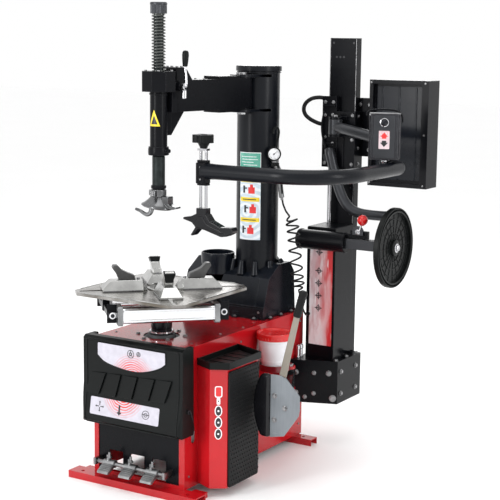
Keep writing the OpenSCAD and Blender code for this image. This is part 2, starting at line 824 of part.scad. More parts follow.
// ---------- bead lifting disc ----------
module disc_sleeve() {
  color("#15161a") difference() {
    union() {
      translate([246, disc_y, disc_z]) rotate([0, 90, 0]) cylinder(h = 236, r = 43);
      translate([500, disc_y - 8, disc_z + 24]) cube([84, 16, 34]);
      translate([470, disc_y - 8, disc_z + 24]) cube([40, 16, 16]);
    }
    translate([240, disc_y - 22 - fit, disc_z - 22 - fit]) cube([360, 44 + 2 * fit, 44 + 2 * fit]);
  }
}

module disc_shaft() {
  color("#77797c") difference() {
    translate([262, disc_y - 22, disc_z - 22]) cube([418, 44, 44]);
    translate([490, disc_y - 6, disc_z - 30]) cube([160, 12, 60]);
    translate([650, disc_y, disc_z]) rotate([0, 90, 0]) cylinder(h = 60, r = 11 + fit);
  }
}

module lifting_disc() {
  color("#111214") {
    translate([691, disc_y, disc_z]) rotate([0, 90, 0]) difference() {
      cylinder(h = 24, r = disc_r, $fn = 96);
      translate([0, 0, 10]) cylinder(h = 20, r = disc_r - 12, $fn = 96);
    }
    translate([691, disc_y, disc_z]) rotate([0, 90, 0]) cylinder(h = 26, r = 34);
    for (a = [0:30:330]) translate([698, disc_y, disc_z]) rotate([a, 0, 0])
      translate([0, -4, 30]) cube([12, 8, disc_r - 38]);
  }
  color("#c8cacc") translate([652, disc_y, disc_z]) rotate([0, 90, 0]) cylinder(h = 70, r = 11);
}

module disc_cam_lever() {
  color("#8d8f92") xz(disc_y - 18, disc_y - 8 - gap) difference() {
    union() {
      translate([540, 1000]) circle(26);
      translate([514, 985]) square([52, 22]);
      translate([545, 1000]) rotate(-14) square([10, 44]);
    }
    translate([540, 1000]) circle(6);
  }
  color("#d81e1e") translate([560, disc_y - 13, 1052]) sphere(23);
}

base_rails();
cabinet_shell();
front_fascia();
pedal_panel();
pedal_shaft();
clamp_pedal();
breaker_pedal();
turn_pedal();
gearbox();
drive_motor();
breaker_cylinder();
side_cover();
tool_tray();
wheel_pad();
breaker_arm();
breaker_blade();
breaker_handle();
bucket_holder();
bucket();
bucket_lid();
spindle();
turntable_plate();
jaw_front();
jaw_back();
jaw_left();
jaw_right();
cylinder_barrels();
cylinder_rods();
column_box();
lube_bowl();
column_tube();
arm_pivot_pin();
swing_arm();
arm_head();
lock_lever();
lift_shaft();
return_spring();
mount_head();
inflator_gun();
inflator_lever();
air_hose();
mast_bracket();
mast_rail();
mast_box();
carriage();
lift_rod();
hose_loop();
roller_arm();
valve_box();
link_arm();
control_box();
control_lever();
press_arm();
press_rods();
press_foot();
press_knob();
disc_sleeve();
disc_shaft();
lifting_disc();
disc_cam_lever();
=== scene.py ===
import math

import bmesh
import bpy
from mathutils import Matrix, Vector


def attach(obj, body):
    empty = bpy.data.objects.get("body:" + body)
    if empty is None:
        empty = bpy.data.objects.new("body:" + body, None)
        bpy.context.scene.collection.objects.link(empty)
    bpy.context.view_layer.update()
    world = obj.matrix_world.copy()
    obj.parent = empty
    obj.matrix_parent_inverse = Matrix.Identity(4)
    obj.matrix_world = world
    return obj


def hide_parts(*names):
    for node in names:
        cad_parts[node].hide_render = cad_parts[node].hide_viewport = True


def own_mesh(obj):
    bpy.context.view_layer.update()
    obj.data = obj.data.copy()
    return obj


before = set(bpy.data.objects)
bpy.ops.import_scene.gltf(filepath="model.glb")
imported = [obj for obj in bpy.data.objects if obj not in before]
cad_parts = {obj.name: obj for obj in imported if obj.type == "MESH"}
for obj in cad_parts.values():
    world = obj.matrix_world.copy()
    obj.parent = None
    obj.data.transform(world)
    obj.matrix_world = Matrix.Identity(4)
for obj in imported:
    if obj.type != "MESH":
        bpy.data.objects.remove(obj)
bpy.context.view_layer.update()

MM = 0.001
X, Y, Z, FRONT = (1, 0, 0), (0, 1, 0), (0, 0, 1), (0, -1, 0)
TABLE = Vector((0, -272, 0))          # turntable axis, millimetres
COLUMN = Vector((62, 368, 0))         # column axis
COLUMN_R = 93.0                       # column outside radius
PLATE_TOP = 802.4                     # where the jaws slide
HEAD = Vector((-15, -272, 0))         # tool head axis
POST = Vector((680, 378, 0))          # press arm post
BLOCK = Vector((163, -212, 0))        # press block
ARM_TURN = -8.8                       # heading of the swing arm, degrees
BOX_TURN = 22                         # heading of the control box, degrees


# ---------------------------------------------------------------- camera
def add_camera():
    """The photograph's point of view: a long lens, a little above the machine."""
    turn, down, roll = math.radians(31.8), math.radians(9.25), math.radians(0.66)
    ahead = Vector((-math.sin(turn) * math.cos(down), math.cos(turn) * math.cos(down), -math.sin(down)))
    right = Vector((math.cos(turn), math.sin(turn), 0))
    up = right.cross(ahead)
    right, up = (right * math.cos(roll) + up * math.sin(roll), up * math.cos(roll) - right * math.sin(roll))
    data = bpy.data.cameras.new("camera")
    data.lens = 94.25
    data.sensor_width = 36
    cam = bpy.data.objects.new("camera", data)
    cam.matrix_world = Matrix.Translation((3.077, -4.552, 1.822)) @ Matrix((
            (right.x, up.x, -ahead.x, 0), (right.y, up.y, -ahead.y, 0),
            (right.z, up.z, -ahead.z, 0), (0, 0, 0, 1)))
    bpy.context.collection.objects.link(cam)
    bpy.context.scene.camera = cam


add_camera()


# ---------------------------------------------------------------- materials
class Graph:
    """Short hand for wiring one procedural material."""

    def __init__(self, name):
        self.mat = bpy.data.materials.new(name)
        self.mat.use_nodes = True
        self.tree = self.mat.node_tree
        self.shader = self.tree.nodes["Principled BSDF"]
        self.place = self.add("ShaderNodeTexCoord").outputs["Object"]

    def add(self, kind, **values):
        node = self.tree.nodes.new(kind)
        for key, value in values.items():
            if hasattr(node, key):
                setattr(node, key, value)
            else:
                self.put(value, node.inputs[key.replace("_", " ")])
        return node

    def put(self, value, socket):
        if isinstance(value, bpy.types.NodeSocket):
            self.tree.links.new(value, socket)
        elif socket.type == "RGBA":
            socket.default_value = (*value, 1)[:4]
        else:
            socket.default_value = value

    def at(self, move=(0, 0, 0), scale=(1, 1, 1), turn=(0, 0, 0)):
        node = self.add("ShaderNodeMapping")
        for key, value in (("Vector", self.place), ("Location", move), ("Rotation", turn), ("Scale", scale)):
            self.put(value, node.inputs[key])
        return node.outputs["Vector"]

    def noise(self, scale, detail=2.0, where=None):
        node = self.add("ShaderNodeTexNoise", Scale=scale, Detail=detail)
        self.put(where or self.place, node.inputs["Vector"])
        return node.outputs["Fac"]

    def span(self, value, low, high, to_low=0.0, to_high=1.0):
        node = self.add("ShaderNodeMapRange")
        for key, v in zip(("Value", "From Min", "From Max", "To Min", "To Max"),
                (value, low, high, to_low, to_high)):
            self.put(v, node.inputs[key])
        return node.outputs["Result"]

    def math(self, operation, a, b=0.0):
        node = self.add("ShaderNodeMath", operation=operation)
        self.put(a, node.inputs[0])
        self.put(b, node.inputs[1])
        return node.outputs[0]

    def mix(self, factor, a, b):
        node = self.add("ShaderNodeMix", data_type="RGBA")
        self.put(factor, node.inputs[0])
        self.put(a, node.inputs[6])
        self.put(b, node.inputs[7])
        return node.outputs[2]

    def worn(self, radius):
        """(rounded normal, mask that is 1 on the edges)"""
        rounded = self.add("ShaderNodeBevel", samples=4, Radius=radius * MM).outputs[0]
        face = self.add("ShaderNodeNewGeometry").outputs["Normal"]
        node = self.add("ShaderNodeVectorMath", operation="DOT_PRODUCT")
        self.put(rounded, node.inputs[0])
        self.put(face, node.inputs[1])
        return rounded, self.span(node.outputs["Value"], 0.99, 0.86)

    def bump(self, height, depth, normal=None):
        node = self.add("ShaderNodeBump", Strength=1.0, Distance=depth * MM, Height=height)
        if normal is not None:
            self.put(normal, node.inputs["Normal"])
        return node.outputs["Normal"]


def look(name, dark, light, rough=(0.3, 0.4), cloud=5.0, grain=700.0, depth=0.03, stretch=(1, 1, 1),
        edge=1.2, wear=None, **sockets):
    """A surface with cloudy colour and roughness, fine grain, rounded and worn edges."""
    g = Graph(name)
    clouds = g.noise(cloud, 4.0)
    colour = g.mix(g.span(clouds, 0.35, 0.65), dark, light)
    where = g.at(scale=stretch)
    fine = g.noise(grain, 3.0, where)
    colour = g.mix(g.span(fine, 0.3, 0.8, 0.0, 0.22), colour, tuple(min(1, c * 1.5 + 0.004) for c in light))
    rounded, mask = g.worn(edge)
    if wear:
        broken = g.span(g.noise(40.0, 3.0), 0.42, 0.62)
        colour = g.mix(g.math("MULTIPLY", g.math("MULTIPLY", mask, broken), 0.55), colour, wear)
    g.put(colour, g.shader.inputs["Base Color"])
    g.put(g.span(g.math("ADD", clouds, g.math("MULTIPLY", fine, 0.4)), 0.4, 1.0, *rough),
            g.shader.inputs["Roughness"])
    g.put(g.bump(fine, depth, rounded), g.shader.inputs["Normal"])
    for key, value in sockets.items():
        g.put(value, g.shader.inputs[key.replace("_", " ")])
    return g.mat


def shades(r, g, b, spread=0.14):
    """A darker and a lighter tone of one colour."""
    return (r * (1 - spread), g * (1 - spread), b * (1 - spread)), (r * (1 + spread), g * (1 + spread),
            b * (1 + spread))


BARE = (0.42, 0.42, 0.44)
RED = look("red_enamel", *shades(0.44, 0.0065, 0.011), (0.10, 0.22), cloud=3.0, grain=420, depth=0.05, edge=2.0,
        wear=(0.66, 0.10, 0.10), Coat_Weight=0.35, Coat_Roughness=0.06, Specular_IOR_Level=0.3)
DARK_RED = look("dark_red_enamel", *shades(0.15, 0.006, 0.010), (0.2, 0.32), edge=1.4, wear=(0.4, 0.08, 0.08),
        Coat_Weight=0.3)
BLACK = look("black_enamel", *shades(0.0035, 0.0038, 0.0052), (0.22, 0.34), cloud=3.5, grain=520, depth=0.045,
        edge=1.8,
        wear=(0.10, 0.10, 0.11), Specular_IOR_Level=0.12)
TUBE_BLACK = look("black_tube_enamel", *shades(0.004, 0.005, 0.0075), (0.24, 0.34), cloud=2.5, grain=640,
        depth=0.035,
        edge=2.5, wear=(0.10, 0.10, 0.11), Specular_IOR_Level=0.2)
GLOSS_BLACK = look("gloss_black_shell", *shades(0.004, 0.0055, 0.009), (0.16, 0.26), cloud=4.0, grain=300,
        depth=0.06,
        edge=3.0, wear=(0.10, 0.11, 0.13), Coat_Weight=0.05, Coat_Roughness=0.12, Specular_IOR_Level=0.2)
CAST_BLACK = look("black_cast_enamel", *shades(0.0045, 0.0045, 0.006), (0.16, 0.30), cloud=12, grain=260,
        depth=0.20,
        edge=2.0, wear=(0.12, 0.12, 0.13), Coat_Weight=0.15, Coat_Roughness=0.12, Specular_IOR_Level=0.25)
MOULDED = look("black_moulded", *shades(0.0042, 0.0052, 0.0052), (0.30, 0.44), cloud=5, grain=900, depth=0.10,
        edge=2.2,
        wear=(0.035, 0.037, 0.04), Specular_IOR_Level=0.15)
RUBBER = look("black_rubber", *shades(0.005, 0.005, 0.0055), (0.42, 0.62), cloud=9, grain=420, depth=0.12, edge=1.5,
        wear=(0.03, 0.03, 0.03), Specular_IOR_Level=0.2)
GREY_ENAMEL = look("graphite_enamel", *shades(0.038, 0.040, 0.045), (0.26, 0.38), cloud=4, grain=620, depth=0.04,
        edge=1.6,
        wear=(0.30, 0.30, 0.31), Metallic=0.55)
BOX_GREY = look("metallic_grey_enamel", *shades(0.020, 0.020, 0.025), (0.28, 0.40), cloud=6, grain=1400, depth=0.03,
        edge=1.6,
        wear=(0.25, 0.25, 0.27), Metallic=0.4, Coat_Weight=0.1)
WARM_GREY = look("warm_grey_enamel", *shades(0.24, 0.215, 0.18), (0.30, 0.42), edge=1.4, wear=(0.5, 0.48, 0.44),
        Metallic=0.3)
CHROME = look("chrome", *shades(0.55, 0.55, 0.57, 0.10), (0.05, 0.13), cloud=8, grain=220, depth=0.01,
        stretch=(1, 1, 0.05),
        edge=0.8, Metallic=1.0)
ZINC = look("zinc_bolt", *shades(0.24, 0.24, 0.245, 0.25), (0.22, 0.36), cloud=30, grain=800, depth=0.04, edge=0.8,
        Metallic=1.0)
JAW_STEEL = look("ground_steel", *shades(0.40, 0.40, 0.39, 0.22), (0.10, 0.22), cloud=10, grain=260, depth=0.03,
        stretch=(1, 1, 6), edge=1.5, wear=(1, 1, 1), Metallic=1.0)
FORGED = look("forged_dark_steel", *shades(0.075, 0.075, 0.075, 0.25), (0.26, 0.42), cloud=26, grain=420,
        depth=0.15, edge=2.0,
        wear=(0.5, 0.5, 0.5), Metallic=0.8)
SHAFT = look("oiled_shaft_steel", *shades(0.022, 0.024, 0.028, 0.3), (0.26, 0.42), cloud=14, grain=520, depth=0.05,
        stretch=(1, 1, 0.2), edge=1.2, wear=(0.35, 0.36, 0.38), Metallic=0.7)
SPRING = look("sprung_wire", *shades(0.10, 0.105, 0.10, 0.3), (0.20, 0.34), cloud=30, grain=600, depth=0.05,
        edge=0.6, Metallic=0.9)
STEM = look("stem_steel", *shades(0.016, 0.020, 0.020, 0.4), (0.30, 0.48), cloud=40, grain=420, depth=0.10,
        edge=1.2, wear=(0.2, 0.21, 0.22), Metallic=0.5, Specular_IOR_Level=0.25)
HEAD_ALLOY = look("polished_casting", *shades(0.15, 0.152, 0.156, 0.35), (0.14, 0.34), cloud=16, grain=300,
        depth=0.14, edge=1.8,
        wear=(0.6, 0.6, 0.6), Metallic=1.0)
ALLOY = look("extruded_alloy", *shades(0.82, 0.83, 0.85, 0.05), (0.20, 0.30), cloud=5, grain=300, depth=0.02,
        stretch=(0.2, 0.2, 4), edge=1.2, wear=(1, 1, 1), Metallic=1.0)
CAST_ALLOY = look("cast_alloy", *shades(0.26, 0.265, 0.27, 0.25), (0.28, 0.44), cloud=22, grain=380, depth=0.18,
        edge=1.8,
        wear=(0.85, 0.85, 0.85), Metallic=0.9)
CAST_IRON = look("cast_iron", *shades(0.09, 0.095, 0.10, 0.2), (0.5, 0.65), cloud=18, grain=300, depth=0.25,
        edge=2.0,
        wear=(0.3, 0.3, 0.3), Metallic=0.6)
SHEET_GREY = look("galvanised_sheet", *shades(0.22, 0.24, 0.26, 0.12), (0.34, 0.46), cloud=7, grain=160, depth=0.02,
        stretch=(1, 1, 0.08), edge=1.2, wear=(0.8, 0.8, 0.8), Metallic=0.65)
WHITE = look("white_plastic", *shades(0.80, 0.80, 0.83, 0.03), (0.30, 0.42), cloud=7, grain=500, depth=0.04,
        edge=1.2,
        Subsurface_Weight=0.15, Subsurface_Radius=(0.01, 0.01, 0.01))
RED_PLASTIC = look("red_plastic", *shades(0.62, 0.012, 0.012, 0.10), (0.18, 0.32), cloud=6, grain=500, depth=0.04,
        edge=1.6,
        wear=(0.9, 0.25, 0.2), Coat_Weight=0.3)
MOTOR_GREY = look("motor_enamel", *shades(0.045, 0.065, 0.09), (0.4, 0.5), edge=1.5, wear=BARE)


def plate_look():
    """Turned plate: fine rings round the turntable axis, with soft stains."""
    g = Graph("turned_plate_steel")
    here = g.at(move=(0, 0.272, 0))
    rings = g.add("ShaderNodeTexWave", wave_type="RINGS", rings_direction="Z", Scale=95.0, Distortion=1.2,
            Detail=2.0)
    g.put(here, rings.inputs["Vector"])
    stains = g.noise(7.0, 5.0)
    colour = g.mix(g.span(stains, 0.38, 0.66), (0.14, 0.125, 0.105), (0.44, 0.43, 0.42))
    g.put(colour, g.shader.inputs["Base Color"])
    g.put(1.0, g.shader.inputs["Metallic"])
    g.put(g.span(g.math("ADD", g.math("MULTIPLY", rings.outputs["Fac"], 0.3), stains), 0.3, 1.1, 0.14, 0.36),
            g.shader.inputs["Roughness"])
    rounded, _ = g.worn(2.0)
    g.put(g.bump(rings.outputs["Fac"], 0.02, rounded), g.shader.inputs["Normal"])
    return g.mat


PLATE = plate_look()


def print_look(name, ground, ink, centre=(0, 0, 0), scale=30.0, share=(0.45, 0.62), reach=None):
    """A printed sticker: a ground colour with swirling bands of ink, glossy film on top."""
    g = Graph(name)
    where = g.at(move=tuple(-c * MM for c in centre))
    bands = g.add("ShaderNodeTexWave", wave_type="RINGS", rings_direction="SPHERICAL", Scale=scale, Distortion=3.5,
            Detail=2.5)
    g.put(where, bands.inputs["Vector"])
    factor = g.span(bands.outputs["Fac"], *share)
    if reach:
        far = g.add("ShaderNodeVectorMath", operation="LENGTH")
        g.put(where, far.inputs[0])
        factor = g.math("MULTIPLY", factor, g.span(far.outputs["Value"], reach[1] * MM, reach[0] * MM))
    soft = g.noise(40.0, 4.0)
    base = g.mix(g.span(soft, 0.35, 0.7), tuple(c * 0.86 for c in ground), ground)
    g.put(g.mix(factor, base, ink), g.shader.inputs["Base Color"])
    g.put(g.span(soft, 0.3, 0.7, 0.28, 0.40), g.shader.inputs["Roughness"])
    g.put(g.bump(g.noise(300.0), 0.02, g.worn(0.4)[0]), g.shader.inputs["Normal"])
    g.put(0.4, g.shader.inputs["Coat Weight"])
    return g.mat


def banner_look():
    """A printed banner: pale on the left, red sweeping in from the right in soft streaks."""
    g = Graph("mast_banner_print")
    here = g.at()
    split = g.add("ShaderNodeSeparateXYZ")
    g.put(here, split.inputs[0])
    streaks = g.noise(5.0, 4.0, g.at(scale=(6, 1, 1.4), turn=(0, 0.35, 0)))
    across = g.math("ADD", g.math("MULTIPLY", split.outputs["X"], 9.0),
            g.math("MULTIPLY", split.outputs["Z"], -0.35))
    sweep = g.span(g.math("ADD", across, g.math("MULTIPLY", streaks, 1.1)), 3.15, 3.75)
    base = g.mix(g.span(streaks, 0.42, 0.62), (0.84, 0.80, 0.82), (0.62, 0.42, 0.44))
    colour = g.mix(sweep, base, (0.64, 0.035, 0.04))
    flashes = g.noise(9.0, 3.0, g.at(scale=(8, 1, 0.9), turn=(0, 0.5, 0)))
    colour = g.mix(g.span(flashes, 0.60, 0.68), colour, (0.86, 0.80, 0.81))
    g.put(colour, g.shader.inputs["Base Color"])
    g.put(g.span(streaks, 0.3, 0.7, 0.26, 0.38), g.shader.inputs["Roughness"])
    g.put(g.bump(g.noise(300.0), 0.02, g.worn(0.4)[0]), g.shader.inputs["Normal"])
    g.put(0.3, g.shader.inputs["Coat Weight"])
    return g.mat


def ink(name, r, g, b):
    """Flat printing ink, barely uneven."""
    return look(name, *shades(r, g, b, 0.08), (0.28, 0.4), cloud=60, grain=900, depth=0.01, edge=0.3)


INK_BLACK = ink("ink_black", 0.015, 0.015, 0.018)
INK_RED = ink("ink_red", 0.72, 0.03, 0.03)
INK_WHITE = ink("ink_white", 0.85, 0.86, 0.88)
INK_YELLOW = ink("ink_yellow", 0.85, 0.62, 0.03)


# ---------------------------------------------------------------- solids
def axes(direction):
    """Two unit vectors square to a direction, and the direction itself."""
    w = Vector(direction).normalized()
    u = (Vector(Z) if abs(w.z) < 0.9 else Vector(X)).cross(w).normalized()
    return u, w.cross(u), w


class Form:
    """Closed solids, in millimetres, gathered into one mesh."""

    def __init__(self, about=(0, 0, 0), turn=0.0):
        self.points, self.faces = [], []
        self.move = Matrix.Translation(Vector(about)) @ Matrix.Rotation(math.radians(turn), 4, "Z")

    def rings(self, rings, closed=False):
        n, base, count = len(rings[0]), len(self.points), len(rings)
        self.points += [self.move @ Vector(p) for ring in rings for p in ring]
        for i in range(count if closed else count - 1):
            for k in range(n):
                a, b, j = base + i * n + k, base + i * n + (k + 1) % n, ((i + 1) % count - i) * n
                self.faces.append([a, b, b + j, a + j])
        if not closed:
            self.faces.append([base + k for k in range(n)][::-1])
            self.faces.append([base + (count - 1) * n + k for k in range(n)])
        return self

    def prism(self, outline, at, u, v, w, depth):
        at, u, v, w = Vector(at), Vector(u), Vector(v), Vector(w)
        ring = [at + u * s + v * t for s, t in outline]
        return self.rings([ring, [p + w * depth for p in ring]])

    def level(self, outline, z0, z1):
        return self.prism(outline, (0, 0, z0), X, Y, Z, z1 - z0)

    def front(self, outline, y0, y1):
        return self.prism(outline, (0, y0, 0), X, Z, Y, y1 - y0)

    def side(self, outline, x0, x1):
        return self.prism(outline, (x0, 0, 0), Y, Z, X, x1 - x0)

    def block(self, low, high):
        return self.level([(low[0], low[1]), (high[0], low[1]), (high[0], high[1]), (low[0], high[1])], low[2],
                high[2])

    def lathe(self, profile, at, axis=Z, n=48):
        """profile is a list of (radius, height); a ring closed on itself when its ends meet."""
        u, v, w = axes(axis)
        at = Vector(at)
        closed = profile[0] == profile[-1]
        steps = profile[:-1] if closed else profile
        rings = [[at + (u * math.cos(2 * math.pi * k / n) + v * math.sin(2 * math.pi * k / n)) * max(r,
                0.02) + w * h
                for k in range(n)] for r, h in steps]
        return self.rings(rings, closed)

    def rod(self, p, q, r, r2=None, n=32):
        p, q = Vector(p), Vector(q)
        return self.lathe([(r, 0), (r if r2 is None else r2, (q - p).length)], p, q - p, n)

    def tube(self, path, r, n=14):
        """Round tube along a path; r may be one radius or one for each point."""
        path = [Vector(p) for p in path]
        radii = r if hasattr(r, "__len__") else [r] * len(path)
        u = None
        rings = []
        for i, p in enumerate(path):
            t = (path[min(i + 1, len(path) - 1)] - path[max(i - 1, 0)]).normalized()
            u = axes(t)[0] if u is None else (u - t * u.dot(t)).normalized()
            v = t.cross(u)
            rings.append([
                p + (u * math.cos(2 * math.pi * k / n) + v * math.sin(2 * math.pi * k / n)) * radii[i]
                for k in range(n)])
        return self.rings(rings)

    def ball(self, centre, r, n=24, squash=1.0):
        steps = n // 2
        return self.lathe([(r * math.sin(math.pi * k / steps), -r * squash * math.cos(math.pi * k / steps))
                for k in range(steps + 1)], centre, Z, n)

    def bolt(self, at, axis, r, h=None):
        """Hexagon head with washer and domed end."""
        h = h or r * 0.7
        self.lathe([(r * 1.45, 0), (r * 1.45, r * 0.22), (r * 1.3, r * 0.28)], at, axis, 28)
        u, v, w = axes(axis)
        hexagon = lambda s, up: [
            Vector(at) + (u * math.cos(math.pi * k / 3) + v * math.sin(math.pi * k / 3)) * r * s + w * up
            for k in range(6)]
        return self.rings([hexagon(1.12, r * 0.2), hexagon(1.12, r * 0.2 + h), hexagon(0.95, r * 0.35 + h)])

    def screw(self, at, axis, r, h=None):
        """Cap screw with a round socket."""
        h = h or r * 0.9
        return self.lathe([(r, 0), (r, h * 0.85), (r * 0.85, h), (r * 0.5, h), (r * 0.45, h * 0.45), (0, h * 0.45)],
                at, axis, 24)


def piece(name, body, form, mat, nodes=(), bevel=0.8, segments=2, sharp=32):
    """One named piece from a form: its mesh, finish, edges, body and the CAD nodes it stands for."""
    mesh = bpy.data.meshes.new(name)
    mesh.from_pydata([p * MM for p in form.points], [], form.faces)
    work = bmesh.new()
    work.from_mesh(mesh)
    bmesh.ops.recalc_face_normals(work, faces=work.faces)
    work.to_mesh(mesh)
    work.free()
    mesh.shade_smooth()
    mesh.set_sharp_from_angle(angle=math.radians(sharp))
    obj = bpy.data.objects.new(name, mesh)
    bpy.context.collection.objects.link(obj)
    mesh.materials.append(mat)
    if bevel:
        edges = obj.modifiers.new("edges", "BEVEL")
        edges.width = bevel * MM
        edges.segments = segments
        edges.limit_method = "ANGLE"
        edges.angle_limit = math.radians(sharp)
        edges.use_clamp_overlap = True
        obj.modifiers.new("shade", "WEIGHTED_NORMAL").keep_sharp = False
    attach(obj, body)
    if nodes:
        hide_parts(*nodes)
    return obj


def arc(cx, cy, r, a0, a1, n=16):
    """Points on an arc, angles in degrees."""
    return [(cx + r * math.cos(math.radians(a0 + (a1 - a0) * k / n)),
            cy + r * math.sin(math.radians(a0 + (a1 - a0) * k / n)))
            for k in range(n + 1)]


def soft_rect(x0, y0, x1, y1, r, n=5):
    return (arc(x1 - r, y0 + r, r, -90, 0, n) + arc(x1 - r, y1 - r, r, 0, 90, n)
            + arc(x0 + r, y1 - r, r, 90, 180, n) + arc(x0 + r, y0 + r, r, 180, 270, n))


def smooth_path(points, steps=6):
    """Catmull-Rom curve through the points."""
    p = [Vector(q) for q in points]
    p = [p[0] * 2 - p[1]] + p + [p[-1] * 2 - p[-2]]
    out = []
    for i in range(1, len(p) - 2):
        for k in range(steps):
            t = k / steps
            out.append(0.5 * ((2 * p[i]) + (p[i + 1] - p[i - 1]) * t
                    + (2 * p[i - 1] - 5 * p[i] + 4 * p[i + 1] - p[i + 2]) * t * t
                    + (3 * p[i] - p[i - 1] - 3 * p[i + 1] + p[i + 2]) * t ** 3))
    return out + [p[-2]]


# ---------------------------------------------------------------- hoses
def hose(name, body, points, radius, node, **facts):
    """A free hose: one open curve with a round section, attached to its body in place of a CAD node."""
    data = bpy.data.curves.new(name, "CURVE")
    data.dimensions = "3D"
    data.bevel_depth = radius * MM
    data.bevel_resolution = 4
    data.use_fill_caps = True
    line = data.splines.new("POLY")
    line.points.add(len(points) - 1)
    for knot, p in zip(line.points, points):
        knot.co = (*(p * MM), 1)
    line.use_smooth = True
    obj = bpy.data.objects.new(name, data)
    bpy.context.collection.objects.link(obj)
    data.materials.append(RUBBER)
    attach(obj, body)
    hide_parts(node)


COIL_LINE = [(238, 346, 1056), (256, 342, 1024), (267, 340, 968), (275, 340, 892), (286, 340, 807), (294, 340, 757),
        (298, 340, 726)]
LEAD_TOP = [(199, 354, 1118), (202, 352.5, 1108), (206, 351, 1098), (213, 349.5, 1086), (220, 348, 1074),
        (230, 347, 1063)]
LEAD_END = [(300, 347, 706), (301, 351, 690), (301, 362, 666), (300, 374, 645), (297, 390, 628), (294, 405, 615),
        (289, 420, 607), (284, 436, 602), (278, 450, 600), (272, 463, 600)]


def curly_path(turns=10.2, radius=25.6, per_turn=18, ease=0.13):
    """A lead, the stretched coil wound round its line, and the lead into the mast."""
    line = smooth_path(COIL_LINE, 12)
    coil, angle = [], 2.4
    count = int(turns * per_turn)
    for k in range(count + 1):
        t = k / count
        full = min(1, min(t, 1 - t) / ease)
        full = full * full * (3 - 2 * full)
        where = t * (len(line) - 1)
        i = min(int(where), len(line) - 2)
        p = line[i].lerp(line[i + 1], where - i)
        w = (line[i + 1] - line[i]).normalized()
        u = Vector(X).cross(w).normalized()
        v = w.cross(u)
        coil.append(p + (u * math.cos(angle) + v * math.sin(angle)) * radius * full)
        angle += 2 * math.pi / per_turn * (0.2 + 0.8 * full)
    return smooth_path(LEAD_TOP + [tuple(coil[1])], 6)[:-1] + coil[1:-1] + smooth_path([tuple(coil[-1])] + LEAD_END,
            6)


hose("curly_air_hose", "frame", curly_path(), 4, "air_hose", stiffness="medium", lay="hanging")
hose("carriage_hose_loop", "lift_carriage", smooth_path([
        (247, 622, 1556), (228, 612, 1558), (200, 598, 1552), (176, 588, 1532), (168, 584, 1506), (176, 586, 1480),
        (198, 594, 1460), (224, 606, 1446), (247, 618, 1438)], 5), 9, "hose_loop", stiffness="stiff", lay="hanging")


# ---------------------------------------------------------------- carried-over CAD nodes
def dress():
    """Each CAD node that stays visible gets its own finish."""
    finishes = {
            RED: "base_rails cabinet_shell side_cover",
            DARK_RED: "bucket_holder",
            BLACK: "pedal_panel breaker_arm swing_arm arm_head mast_bracket mast_rail mast_box carriage"
            " valve_box disc_sleeve",
            TUBE_BLACK: "column_tube",
            GLOSS_BLACK: "column_box",
            MOULDED: "front_fascia tool_tray",
            CAST_ALLOY: "clamp_pedal breaker_pedal turn_pedal",
            ZINC: "pedal_shaft arm_pivot_pin",
            ALLOY: "breaker_cylinder",
            MOTOR_GREY: "drive_motor",
            PLATE: "turntable_plate",
            CHROME: "cylinder_rods press_rods lift_rod",
            GREY_ENAMEL: "link_arm disc_shaft",
        }
    for mat, names in finishes.items():
        for name in names.split():
            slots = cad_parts[name].data.materials
            slots.clear()
            slots.append(mat)


dress()


# ---------------------------------------------------------------- cabinet front
def fascia_y(z):
    """Front face of the fascia at a height."""
    if z >= 420:
        return -474
    if z >= 300:
        return -474 - 18 * (420 - z) / 120
    return -492 + 2 * (300 - z) / 32


SLOPE = Vector((0, -18, -120)).normalized()
SLOPE_OUT = Vector((0, -120, 18)).normalized()


